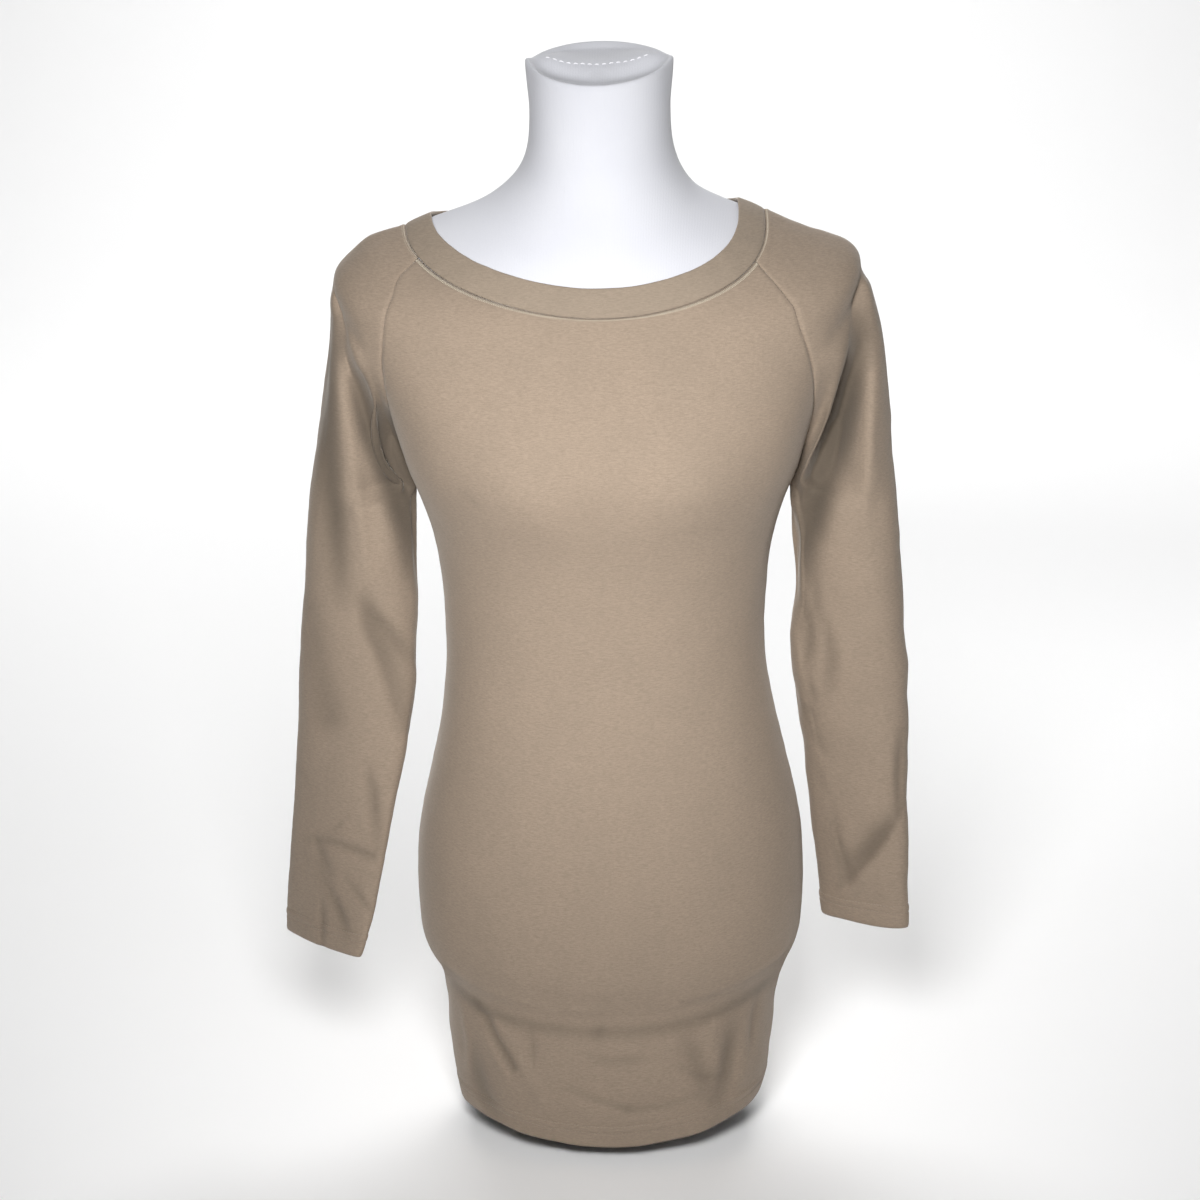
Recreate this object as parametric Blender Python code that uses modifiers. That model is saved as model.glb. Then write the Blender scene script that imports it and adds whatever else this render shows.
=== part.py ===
"""Long-sleeved raglan jersey blouse, worn by a limbless dress form on a short pedestal.

Metres, +Z up, the wearer faces -Y and the wearer's left is at +X.
The origin is the centre of the pedestal's underside.
"""

import math
from collections import namedtuple

import bmesh
import bpy
import numpy as np

COLLECTION = "jersey_blouse"

# The jersey's wall, and that of the neckband, which is folded double
CLOTH = 0.0012
BAND_CLOTH = 0.0020
# The gap at a seam. It is wider where a sleeve folds out over its seam, and the band,
# being thicker, stands back from its seam by so many gaps.
SEAM_GAP = 0.0003
SEAM_CORNER = 0.0017
BAND_CORNER = 2.6
# How far the form lies inside the middle of the cloth, and how much more above the bust
FORM_EASE = 0.0014
CHEST_EASE = 0.0014
CHEST_EASE_FROM = 12.5

# Pedestal, hidden inside the hem
BASE_RADIUS = 0.066
BASE_HEIGHT = 0.010
BASE_EDGE = 0.002
POLE_RADIUS = 0.013
FLANGE_RADIUS = 0.040
FLANGE_HEIGHT = 0.006
FLANGE_EDGE = 0.001
UNDERSIDE_Z = 0.1165

# How many faces run round each piece
PANEL_COLUMNS = 20
BAND_COLUMNS = 48
ROUND_SIDES = 32
# How many rows a sleeve has from the underarm to the cuff
TUBE_ROWS = 14

# Levels of the body's rings that the pieces use
FORM_EDGE = 4
UNDERARM = 14
SHOULDER_TIP = 20
NECK_SEAM = 23
NECK_EDGE = 24
NECK_TOP = 29

# A ring runs round the body. It is half "wide" at the sides, at height side_z;
# its front centre is at y = front and z = front_z, its back centre at y = back
# and z = back_z. A squareness of 2 is an ellipse, and more is boxier. The body
# isn't quite even: "middle" is the x of a ring's sides, "lean" that of its front and
# back, and "tilt" lifts its +X side.
Ring = namedtuple("Ring", "wide side_z front front_z back back_z squareness middle lean tilt")
BODY_RINGS = (
    Ring(0.1240, 0.0290, -0.1000, 0.0150, 0.0950, 0.0210, 2.20, 0.0005, 0.0060, 0.0030),
    Ring(0.1280, 0.0500, -0.1035, 0.0400, 0.0985, 0.0450, 2.20, 0.0010, 0.0040, 0.0020),
    Ring(0.1325, 0.0770, -0.1045, 0.0740, 0.1000, 0.0760, 2.20, 0.0010, 0.0000, 0.0000),
    Ring(0.1340, 0.1060, -0.1040, 0.1080, 0.1005, 0.1060, 2.20, 0.0015, 0.0000, 0.0000),
    Ring(0.1365, 0.1250, -0.1065, 0.1340, 0.1040, 0.1270, 2.20, 0.0020, 0.0000, 0.0000),
    Ring(0.1415, 0.1430, -0.1125, 0.1500, 0.1120, 0.1450, 2.20, 0.0035, 0.0000, 0.0000),
    Ring(0.1525, 0.1620, -0.1155, 0.1680, 0.1175, 0.1640, 2.20, 0.0020, 0.0000, 0.0000),
    Ring(0.1560, 0.2050, -0.1175, 0.2080, 0.1210, 0.2060, 2.20, 0.0020, 0.0000, 0.0000),
    Ring(0.1545, 0.2500, -0.1165, 0.2500, 0.1130, 0.2500, 2.20, 0.0020, 0.0000, 0.0000),
    Ring(0.1450, 0.2980, -0.1125, 0.2980, 0.0990, 0.2980, 2.20, 0.0025, 0.0000, 0.0000),
    Ring(0.1330, 0.3490, -0.1035, 0.3490, 0.0850, 0.3490, 2.20, 0.0020, 0.0000, 0.0000),
    Ring(0.1256, 0.4050, -0.0960, 0.4050, 0.0770, 0.4050, 2.20, 0.0000, 0.0000, 0.0000),
    Ring(0.1270, 0.4550, -0.0990, 0.4550, 0.0810, 0.4550, 2.25, 0.0000, 0.0000, 0.0000),
    Ring(0.1325, 0.4980, -0.1085, 0.4980, 0.0870, 0.4980, 2.35, 0.0000, 0.0000, 0.0000),
    Ring(0.1420, 0.5300, -0.1190, 0.5300, 0.0910, 0.5300, 2.45, 0.0000, 0.0000, 0.0000),
    Ring(0.1525, 0.5560, -0.1245, 0.5580, 0.0930, 0.5560, 2.55, 0.0000, 0.0000, 0.0000),
    Ring(0.1610, 0.5870, -0.1215, 0.5880, 0.0940, 0.5870, 2.65, 0.0000, 0.0000, 0.0000),
    Ring(0.1700, 0.6150, -0.1125, 0.6140, 0.0940, 0.6170, 2.70, -0.0010, 0.0000, 0.0000),
    Ring(0.1805, 0.6450, -0.1030, 0.6370, 0.0920, 0.6450, 2.70, -0.0020, 0.0000, 0.0010),
    Ring(0.1925, 0.6750, -0.0955, 0.6550, 0.0890, 0.6680, 2.60, -0.0035, 0.0000, 0.0020),
    Ring(0.2038, 0.7050, -0.0915, 0.6670, 0.0860, 0.6900, 2.40, -0.0028, 0.0010, 0.0020),
    Ring(0.1905, 0.7230, -0.0895, 0.6720, 0.0840, 0.7020, 2.40, 0.0005, 0.0020, 0.0015),
    Ring(0.1660, 0.7345, -0.0880, 0.6755, 0.0830, 0.7120, 2.45, -0.0095, 0.0040, 0.0010),
    Ring(0.1365, 0.7450, -0.0865, 0.6790, 0.0810, 0.7220, 2.50, -0.0115, 0.0060, 0.0045),
    Ring(0.1190, 0.7525, -0.0790, 0.7015, 0.0745, 0.7420, 2.40, -0.0125, 0.0060, 0.0040),
    Ring(0.0895, 0.7630, -0.0715, 0.7220, 0.0680, 0.7570, 2.30, -0.0040, 0.0030, 0.0020),
    Ring(0.0738, 0.7730, -0.0645, 0.7400, 0.0630, 0.7710, 2.20, -0.0010, 0.0015, 0.0000),
    Ring(0.0608, 0.7910, -0.0570, 0.7650, 0.0580, 0.7930, 2.10, 0.0010, 0.0000, 0.0000),
    Ring(0.0563, 0.8150, -0.0530, 0.7970, 0.0540, 0.8230, 2.05, 0.0010, 0.0000, 0.0000),
    Ring(0.0560, 0.8620, -0.0500, 0.8470, 0.0510, 0.8730, 2.05, 0.0010, 0.0000, 0.0010),
)
# Levels where the panels, the sleeves' tops and the form all have a row of points
SKIRT = (0.0, 0.5, 1.0, 2.0, 3.0, 3.6)
FORM_TO_UNDERARM = (4.0, 4.5, 5.0, 6.0, 7.0, 8.0, 8.5, 9.0, 9.5, 10.0, 10.5, 11.0, 12.0, 13.0)
UNDERARM_TO_SHOULDER = (14.0, 14.5, 15.0, 15.5, 16.0, 16.5, 17.0, 17.5, 18.0, 18.5, 19.0, 19.5)
SHOULDER_TO_NECK = (20.0, 20.7, 21.4, 22.2, 23.0)
UNDERARM_TO_NECK = UNDERARM_TO_SHOULDER + SHOULDER_TO_NECK
PANEL_LEVELS = SKIRT + FORM_TO_UNDERARM + UNDERARM_TO_NECK
NECK_LEVELS = (24.0, 25.0, 26.0, 27.0, 28.0, 29.0)
FORM_LEVELS = FORM_TO_UNDERARM + UNDERARM_TO_NECK + NECK_LEVELS
# A sleeve starts at the neckline and leaves out the two rows nearest the underarm
CAP_LEVELS = UNDERARM_TO_NECK[:1:-1]
# A short way along the levels, to measure the body's slope over
LEVEL_STEP = 0.02

# How sharply a ring's height changes from its side to its front: at the hem, and above
HEM_BOW = 3.0
RING_BOW = 1.3
# How closely a ring's "middle" keeps to its sides
SIDE_HOLD = 3

# The bust: two soft lobes that the jersey bridges
BUST_SIDE = 0.066
BUST_HEIGHT = 0.552
BUST_WIDTH = 0.040
BUST_RISE = 0.040
BUST_DEPTH = 0.007

# The raglan seams: their angle from the side of the body, in degrees, by level. They
# cross a ring aslant, so the gap between them is measured with a slant.
SEAM_SLANT = 1.6
Raglan = namedtuple("Raglan", "level front_right front_left back")
RAGLAN_SEAMS = (
    Raglan(14, 0.0, 0.0, 0.0),
    Raglan(15, 7.0, 7.0, 8.0),
    Raglan(16, 15.0, 15.0, 17.0),
    Raglan(17, 24.0, 25.0, 26.0),
    Raglan(18, 33.5, 37.0, 36.0),
    Raglan(19, 40.5, 45.5, 44.0),
    Raglan(20, 43.0, 49.0, 48.0),
    Raglan(21, 42.5, 50.5, 50.0),
    Raglan(22, 34.0, 44.5, 45.0),
    Raglan(23, 24.0, 34.0, 34.0),
)

# A sleeve's sections by height: how far out its outer and inner sides are, the
# middle of its depth, half its depth, and how far its outer side lies behind.
Section = namedtuple("Section", "height outer inner middle depth skew")
# The ridge from the shoulder tip to the underarm, by level, on the front and the back:
# how far out and forward it lies, and how deep the valley behind it goes
Fold = namedtuple("Fold", "level out front back valley")
# A soft trough down a sleeve, its angle round the sleeve at its top and foot, and its
# width in degrees. It fades at its ends by a power of a half wave, the sleeve counts as at
# least so thick, and a trough of TROUGH_PULL depth would close it.
TROUGH_FADE = 0.7
THINNEST_SLEEVE = 0.012
TROUGH_PULL = 0.05
Trough = namedtuple("Trough", "top foot angle_top angle_foot width depth")
Sleeve = namedtuple("Sleeve", "name side front_seam cuff sections folds troughs")

RIGHT_SLEEVE = Sleeve(
    "sleeve_right",
    -1,
    "front_right",
    0.155,
    (
        Section(0.155, 0.2660, 0.2010, -0.004, 0.0095, 0.032),
        Section(0.195, 0.2625, 0.1885, -0.003, 0.0130, 0.030),
        Section(0.264, 0.2560, 0.1740, -0.002, 0.0180, 0.025),
        Section(0.332, 0.2500, 0.1590, 0.000, 0.0230, 0.018),
        Section(0.399, 0.2440, 0.1500, 0.001, 0.0280, 0.010),
        Section(0.465, 0.2375, 0.1480, 0.002, 0.0330, 0.004),
        Section(0.530, 0.2310, 0.1470, 0.003, 0.0370, 0.002),
        Section(0.562, 0.2255, 0.1560, 0.004, 0.0380, 0.000),
        Section(0.594, 0.2210, 0.1670, 0.004, 0.0370, 0.000),
        Section(0.626, 0.2165, 0.1780, 0.004, 0.0330, 0.000),
        Section(0.657, 0.2115, 0.1880, 0.003, 0.0270, 0.000),
        Section(0.690, 0.2080, 0.1985, 0.002, 0.0190, 0.000),
        Section(0.705, 0.2070, 0.2010, 0.002, 0.0150, 0.000),
    ),
    (
        Fold(14, 0.1485, -0.0030, 0.0030, 0.000),
        Fold(15, 0.1560, -0.0140, 0.0125, 0.008),
        Fold(16, 0.1640, -0.0305, 0.0270, 0.018),
        Fold(17, 0.1735, -0.0440, 0.0405, 0.022),
        Fold(18, 0.1855, -0.0510, 0.0490, 0.015),
        Fold(19, 0.1965, -0.0420, 0.0420, 0.004),
        Fold(20, 0.2030, -0.0170, 0.0190, 0.000),
    ),
    (
        Trough(0.62, 0.38, -62, -58, 12, 0.0060),
        Trough(0.56, 0.28, -118, -150, 16, 0.0080),
        Trough(0.58, 0.30, 60, 75, 18, 0.0060),
        Trough(0.40, 0.20, 125, 110, 18, 0.0040),
    ),
)
LEFT_SLEEVE = Sleeve(
    "sleeve_left",
    1,
    "front_left",
    0.166,
    (
        Section(0.166, 0.2430, 0.1765, 0.004, 0.0120, -0.018),
        Section(0.195, 0.2430, 0.1735, 0.004, 0.0150, -0.018),
        Section(0.264, 0.2415, 0.1645, 0.004, 0.0200, -0.016),
        Section(0.332, 0.2415, 0.1575, 0.004, 0.0250, -0.012),
        Section(0.400, 0.2387, 0.1485, 0.004, 0.0300, -0.010),
        Section(0.450, 0.2350, 0.1525, 0.004, 0.0320, -0.010),
        Section(0.480, 0.2330, 0.1510, 0.004, 0.0340, -0.010),
        Section(0.530, 0.2292, 0.1475, 0.004, 0.0365, -0.008),
        Section(0.562, 0.2257, 0.1560, 0.004, 0.0370, -0.006),
        Section(0.594, 0.2240, 0.1670, 0.004, 0.0360, -0.004),
        Section(0.626, 0.2210, 0.1780, 0.004, 0.0320, -0.002),
        Section(0.657, 0.2170, 0.1880, 0.003, 0.0260, 0.000),
        Section(0.690, 0.2085, 0.1965, 0.002, 0.0180, 0.000),
        Section(0.710, 0.2040, 0.1960, 0.002, 0.0140, 0.000),
    ),
    (
        Fold(14, 0.1500, -0.0030, 0.0030, 0.000),
        Fold(15, 0.1595, -0.0140, 0.0125, 0.008),
        Fold(16, 0.1690, -0.0305, 0.0270, 0.016),
        Fold(17, 0.1770, -0.0440, 0.0405, 0.020),
        Fold(18, 0.1855, -0.0510, 0.0490, 0.014),
        Fold(19, 0.1915, -0.0420, 0.0420, 0.004),
        Fold(20, 0.1965, -0.0170, 0.0190, 0.000),
    ),
    (
        Trough(0.60, 0.42, -66, -80, 12, 0.0060),
        Trough(0.55, 0.30, -122, -150, 16, 0.0080),
        Trough(0.58, 0.30, 60, 75, 18, 0.0060),
        Trough(0.36, 0.18, 120, 105, 18, 0.0040),
    ),
)
# Angles round a sleeve of the guide lines that its rows pass through. Over the shoulder
# the first and last are on the seams, the next two on a flap, and then come the flap's
# ridge and the valley behind it.
GUIDE_ANGLES = (-180, -162, -145, -128, -104, -72, -36, 0, 36, 72, 104, 128, 145, 162, 180)
MIDDLE_GUIDE = 7
RIDGE_GUIDES = (3, 11)
VALLEY_GUIDES = (4, 10)
# How the middle guide lines share the arc between the two ridges on the shoulder
MIDDLE_SHARES = (-1.0, -0.80, -0.55, -0.27, 0.0, 0.27, 0.55, 0.80, 1.0)
# A ridge's angle as a share of its seam's, which grows from RIDGE_TOP to the neck, and
# how far out the valley lies from the ridge to the tube
RIDGE_TOP = 18.5
RIDGE_SHARE = 0.25
RIDGE_SHARE_AT_NECK = 0.60
VALLEY_SHARE = 0.35
# How many faces lie between one guide line and the next
GUIDE_COLUMNS = (1, 1, 1, 1, 2, 2, 2, 2, 2, 2, 1, 1, 1, 1)
# How far a hanging sleeve stays off the body, and off the body's own seam at the underarm
FLAP_LIFT = 0.0025
UNDERARM_REACH = 0.036
UNDERARM_STEP = 0.0048
UNDERARM_LIFT = 0.0013
# How many levels below the shoulder tip a flap, and the outer sleeve, take to hang free
HANG_LEVELS = 2.2
DROP_LEVELS = 0.9

# The form's underside turns in below its edge: share of the edge ring, and height
Turn = namedtuple("Turn", "share height")
UNDERSIDE_TURNS = (
    Turn(0.40, UNDERSIDE_Z),
    Turn(0.86, UNDERSIDE_Z),
    Turn(0.93, UNDERSIDE_Z + 0.0020),
    Turn(0.975, UNDERSIDE_Z + 0.0065),
)
FLAT_TURN = 1
# How much of the edge's rise and fall the turned-in rings keep at most
EDGE_FOLLOW = 0.5
# The neck's sunken top: share of the neck's ring, and depth below it
Dish = namedtuple("Dish", "share depth")
NECK_DISH = (Dish(0.93, -0.0015), Dish(0.84, 0.0025), Dish(0.66, 0.0060), Dish(0.34, 0.0075))


def curve_through(table, column, at):
    """A smooth curve through one column of a table, over its first column, with no overshoot."""
    xs = np.array([row[0] for row in table], float)
    ys = np.array([getattr(row, column) for row in table], float)
    return monotone_curve(xs, ys, at)


def monotone_curve(xs, ys, at):
    """Monotone cubic interpolation."""
    steps = np.diff(xs)
    slopes = np.diff(ys) / steps
    tangents = np.zeros_like(ys)
    tangents[0], tangents[-1] = slopes[0], slopes[-1]
    before, after = slopes[:-1], slopes[1:]
    same_way = before * after > 0
    weight_a = 2 * steps[1:] + steps[:-1]
    weight_b = steps[1:] + 2 * steps[:-1]
    with np.errstate(divide="ignore", invalid="ignore"):
        inner = (weight_a + weight_b) / (weight_a / before + weight_b / after)
    tangents[1:-1] = np.where(same_way, inner, 0.0)
    at = np.clip(np.asarray(at, float), xs[0], xs[-1])
    i = np.clip(np.searchsorted(xs, at, side="right") - 1, 0, len(steps) - 1)
    h = steps[i]
    t = (at - xs[i]) / h
    return (
        ys[i] * (1 + 2 * t) * (1 - t) ** 2
        + tangents[i] * h * t * (1 - t) ** 2
        + ys[i + 1] * t**2 * (3 - 2 * t)
        + tangents[i + 1] * h * t**2 * (t - 1)
    )


def smooth_step(value):
    """0 below 0, 1 above 1, and a soft S between."""
    t = np.clip(value, 0.0, 1.0)
    return t * t * (3 - 2 * t)


def body_point(angle, level):
    """The middle of the cloth on the body, at an angle in degrees from the wearer's left
    side, where -90 is the front, and at a ring level."""
    angle, level = np.broadcast_arrays(np.asarray(angle, float), np.asarray(level, float))
    rows = np.arange(len(BODY_RINGS), dtype=float)
    ring = {
        name: monotone_curve(rows, np.array([getattr(r, name) for r in BODY_RINGS]), level)
        for name in Ring._fields
    }
    turn = np.radians(angle)
    cos, sin = np.cos(turn), np.sin(turn)
    n = ring["squareness"]
    swell = (np.abs(cos) ** n + np.abs(sin) ** n) ** (-1 / n)
    in_front = sin < 0
    reach = np.where(in_front, -ring["front"], ring["back"])
    end_z = np.where(in_front, ring["front_z"], ring["back_z"])
    at_side = np.abs(cos) ** SIDE_HOLD
    x = ring["middle"] * at_side + ring["lean"] * (1 - at_side) + ring["wide"] * swell * cos
    y = reach * swell * sin
    bow = RING_BOW + (HEM_BOW - RING_BOW) * np.clip(1 - level, 0, 1)
    z = ring["side_z"] + (end_z - ring["side_z"]) * np.abs(sin) ** bow + ring["tilt"] * cos
    across = np.exp(-(((np.abs(x) - BUST_SIDE) / BUST_WIDTH) ** 2))
    upright = np.exp(-(((z - BUST_HEIGHT) / BUST_RISE) ** 2))
    y = y - BUST_DEPTH * across * upright * in_front * np.abs(sin)
    return np.stack([x, y, z], -1)


def body_normal(angle, level):
    """The outward direction of the body surface."""
    along = body_point(angle + 1.0, level) - body_point(angle - 1.0, level)
    top = np.minimum(np.asarray(level, float) + LEVEL_STEP, NECK_TOP)
    up = body_point(angle, top) - body_point(angle, top - 2 * LEVEL_STEP)
    normal = np.cross(along, up)
    return normal / np.linalg.norm(normal, axis=-1, keepdims=True)


def seam_angle(level, column):
    """How far a raglan seam lies from the side of the body, in degrees."""
    return curve_through(RAGLAN_SEAMS, column, level) * (np.asarray(level) > UNDERARM)


def seam_inset(angle, level):
    """The angle that takes a piece half a seam gap away from a seam at this angle."""
    step = body_point(angle + 0.5, level) - body_point(angle - 0.5, level)
    return SEAM_SLANT * SEAM_GAP / 2 / np.linalg.norm(step, axis=-1)


def level_inset(angle, level):
    """The part of a level that takes a piece half a seam gap away from the neck seam."""
    rise = body_point(angle, level + LEVEL_STEP) - body_point(angle, level - LEVEL_STEP)
    return SEAM_GAP * LEVEL_STEP / np.linalg.norm(rise, axis=-1)


def open_grid(name, points, closed_rows=()):
    """A grid surface from rows of points. Rows that are named closed end where they start."""
    mesh = bpy.data.meshes.new(name)
    bm = bmesh.new()
    rows = []
    for i, row in enumerate(points):
        count = len(row) - 1 if i in closed_rows else len(row)
        verts = [bm.verts.new(tuple(p)) for p in row[:count]]
        if i in closed_rows:
            verts.append(verts[0])
        rows.append(verts)
    for lower, upper in zip(rows, rows[1:]):
        for k in range(len(lower) - 1):
            corners = (lower[k], lower[k + 1], upper[k + 1], upper[k])
            bm.faces.new(list(dict.fromkeys(corners)))
    bm.to_mesh(mesh)
    bm.free()
    return mesh


def add_object(name, mesh, material):
    """An object for a mesh, in the garment's collection, shaded smooth."""
    thing = bpy.data.objects.new(name, mesh)
    mesh.materials.append(material)
    mesh.shade_smooth()
    bpy.data.collections[COLLECTION].objects.link(thing)
    return thing


def cloth_wall(name, points, thickness, material, closed_rows=()):
    """A sewn piece: the middle of its cloth, thickened. A thicker piece grows outwards."""
    thing = add_object(name, open_grid(name, points, closed_rows), material)
    solid = thing.modifiers.new("cloth", "SOLIDIFY")
    solid.thickness = thickness
    solid.offset = 1 - CLOTH / thickness
    solid.use_even_offset = False
    thing.modifiers.new("shading", "WEIGHTED_NORMAL")
    return thing


def make_material(name, colour, roughness, metallic=0.0):
    """A plain Principled finish."""
    material = bpy.data.materials.new(name)
    material.use_nodes = True
    shader = material.node_tree.nodes["Principled BSDF"]
    shader.inputs["Base Color"].default_value = (*colour, 1.0)
    shader.inputs["Roughness"].default_value = roughness
    shader.inputs["Metallic"].default_value = metallic
    return material


def panel_rows(seams, centre):
    """A body panel's rows, from one side seam or raglan seam to the other. The centre
    is -90 degrees for the front and 90 for the back, and its seams are named in the
    order that the rows meet them."""
    rows = []
    for level in PANEL_LEVELS:
        ends = []
        for column, way in zip(seams, (-1, 1)):
            turn = 90.0 - float(seam_angle(level, column))
            edge = centre + way * turn
            ends.append(edge - way * float(seam_inset(edge, level)))
        angles = np.linspace(*ends, PANEL_COLUMNS + 1)
        trim = level_inset(angles, level) * (level == NECK_SEAM)
        rows.append(body_point(angles, level - trim))
    return rows


def make_panel(name, seams, centre, material):
    """The front or the back, cut in one."""
    return cloth_wall(name, panel_rows(seams, centre), CLOTH, material)


def make_neckband(material):
    """The folded band round the neckline, from its seam to its free edge."""
    angles = np.linspace(-180, 180, BAND_COLUMNS + 1)
    inset = level_inset(angles, NECK_SEAM) * BAND_CORNER
    shares = (0.0, 0.5, 1.0)
    rows = [
        body_point(angles, NECK_SEAM + inset + (NECK_EDGE - NECK_SEAM - inset) * share)
        for share in shares
    ]
    return cloth_wall("neckband", rows, BAND_CLOTH, material, range(len(rows)))


def tube_point(sleeve, height, angle):
    """The middle of a sleeve's cloth at a height: 0 degrees is its outer side, -90 its front."""
    height, angle = np.broadcast_arrays(np.asarray(height, float), np.asarray(angle, float))
    section = {c: curve_through(sleeve.sections, c, height) for c in Section._fields[1:]}
    cos, sin = np.cos(np.radians(angle)), np.sin(np.radians(angle))
    sunk = np.zeros(height.shape)
    for trough in sleeve.troughs:
        run = (trough.top - height) / (trough.top - trough.foot)
        line = trough.angle_top + (trough.angle_foot - trough.angle_top) * run
        along = np.sin(np.pi * np.clip(run, 0, 1)) ** TROUGH_FADE
        off = (angle - line + 180) % 360 - 180
        sunk += trough.depth * along * np.exp(-((off / trough.width) ** 2))
    half = (section["outer"] - section["inner"]) / 2
    shrink = 1 - sunk / np.maximum(section["depth"], THINNEST_SLEEVE)
    out = (section["outer"] + section["inner"]) / 2 + half * cos * (1 - sunk / TROUGH_PULL)
    y = section["middle"] + section["depth"] * sin * shrink + section["skew"] * cos
    return np.stack([out, y, height], -1)


def lifted_off_body(point, angle, level, lift):
    """A point, moved out where it would come closer to the body than its lift."""
    body, out = body_point(angle, level), body_normal(angle, level)
    return point + out * max(lift - float(np.dot(point - body, out)), 0.0)


def cap_guides(sleeve, level):
    """Guide points of a row over the shoulder, on the sleeve's own side, front to back."""
    mirror = np.array((sleeve.side, 1, 1))
    front = float(seam_angle(level, sleeve.front_seam))
    back = float(seam_angle(level, "back"))
    hang = float(smooth_step((SHOULDER_TIP - level) / HANG_LEVELS))
    corner = 1 + 2 * hang * SEAM_CORNER / SEAM_GAP
    front_edge = -front + seam_inset(-front, level) * corner
    back_edge = back - seam_inset(back, level) * corner
    trim = level_inset(0.0, level) if level == NECK_SEAM else 0.0
    upward = float(smooth_step((level - RIDGE_TOP) / (NECK_SEAM - RIDGE_TOP)))
    share = RIDGE_SHARE + (RIDGE_SHARE_AT_NECK - RIDGE_SHARE) * upward
    ridges = (front_edge * share, back_edge * share)
    first = [front_edge + (ridges[0] - front_edge) * third / 3 for third in (0, 1, 2)]
    last = [back_edge + (ridges[1] - back_edge) * third / 3 for third in (2, 1, 0)]
    middle = [abs(share) * ridges[share > 0] for share in MIDDLE_SHARES]
    angles = np.array(first + middle + last)

    def on_body(angle):
        return side_point(sleeve.side, angle, level - trim) * mirror

    guides = np.array([on_body(angle) for angle in angles])
    if hang == 0:
        return guides
    height = guides[MIDDLE_GUIDE][2]
    fold = {c: float(curve_through(sleeve.folds, c, level)) for c in Fold._fields[1:]}
    free = tube_point(sleeve, height, np.array(GUIDE_ANGLES))
    ends = (0, len(free) - 1)
    for end, ridge, valley, reach in zip(
        ends, RIDGE_GUIDES, VALLEY_GUIDES, (fold["front"], fold["back"])
    ):
        step = 1 if end == 0 else -1
        inward = -math.copysign(fold["valley"], reach)
        tube_out = free[valley + step][0]
        valley_out = fold["out"] + (tube_out - fold["out"]) * VALLEY_SHARE
        free[ridge] = (fold["out"], reach, guides[ridge][2])
        free[valley] = (valley_out, reach + inward, height)
        rise = smooth_step(UNDERARM + 2 - level) * UNDERARM_LIFT
        guides[end][0] += rise
        free[end] = guides[end]
        for third in (1, 2):
            free[end + step * third] = guides[end] + (free[ridge] - guides[end]) * third / 3
    hanging = np.full((len(free), 1), hang)
    drop = smooth_step((SHOULDER_TIP - level) / DROP_LEVELS)
    hanging[VALLEY_GUIDES[0] + 1 : VALLEY_GUIDES[1]] = drop
    guides = guides * (1 - hanging) + free * hanging
    for k in range(1, ends[1]):
        turn = side_angle(sleeve.side, angles[k])
        lift = FLAP_LIFT * float(hanging[k, 0])
        guides[k] = lifted_off_body(guides[k] * mirror, turn, level, lift) * mirror
    return guides


def side_angle(side, angle):
    """The body's angle for an angle that is counted from one side, front negative."""
    return angle if side > 0 else np.where(np.asarray(angle) < 0, -180 - angle, 180 - angle)


def side_point(side, angle, level):
    """A point of the body at an angle that is counted from one side."""
    return body_point(side_angle(side, angle), level)


def tube_guides(sleeve, height):
    """Guide points of a row below the underarm, which closes at the underarm seam."""
    guides = tube_point(sleeve, height, np.array(GUIDE_ANGLES))
    armpit = side_point(sleeve.side, 0.0, UNDERARM) * (sleeve.side, 1, 1)
    pull = 1 - smooth_step((armpit[2] - height) / UNDERARM_REACH)
    for k in (0, len(guides) - 1):
        guides[k][1] *= 1 - pull
        guides[k][0] += (armpit[0] + UNDERARM_STEP - guides[k][0]) * pull
    return guides


def row_through(guides):
    """A row's points: on a smooth curve through guide points, and at each of them."""
    gaps = np.linalg.norm(np.diff(guides, axis=0), axis=1)
    h = np.maximum(gaps, 1e-5) ** 0.5
    n = len(guides)
    system = np.eye(n)
    right = np.zeros((n, 3))
    for i in range(1, n - 1):
        system[i, i - 1 : i + 2] = h[i - 1], 2 * (h[i - 1] + h[i]), h[i]
        after = (guides[i + 1] - guides[i]) / h[i]
        before = (guides[i] - guides[i - 1]) / h[i - 1]
        right[i] = 6 * (after - before)
    bend = np.linalg.solve(system, right)
    points = []
    for i, count in enumerate(GUIDE_COLUMNS):
        for part in range(count):
            b = part / count
            a = 1 - b
            bending = ((a**3 - a) * bend[i] + (b**3 - b) * bend[i + 1]) * h[i] ** 2 / 6
            points.append(a * guides[i] + b * guides[i + 1] + bending)
    return np.array([*points, guides[-1]])


def sleeve_rows(sleeve):
    """A sleeve's rows from the neckline to the cuff, and which of them are closed rings."""
    top = side_point(sleeve.side, 0.0, UNDERARM)[2]
    heights = np.linspace(top, sleeve.cuff, TUBE_ROWS)
    rows = [row_through(cap_guides(sleeve, level)) for level in CAP_LEVELS]
    rows += [row_through(tube_guides(sleeve, z)) for z in heights]
    closed = range(len(CAP_LEVELS), len(rows))
    mirrored = [row * (sleeve.side, 1, 1) for row in rows]
    if sleeve.side > 0:
        mirrored = [row[::-1] for row in mirrored]
    return mirrored, closed


def make_sleeve(sleeve, material):
    """A raglan sleeve, cut in one and closed by its underarm seam."""
    rows, closed = sleeve_rows(sleeve)
    return cloth_wall(sleeve.name, rows, CLOTH, material, closed)


def form_skin(angles, level):
    """A ring of the form, inside the cloth by its ease."""
    ease = FORM_EASE + CHEST_EASE * smooth_step(level - CHEST_EASE_FROM)
    return body_point(angles, level) - body_normal(angles, level) * ease


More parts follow.
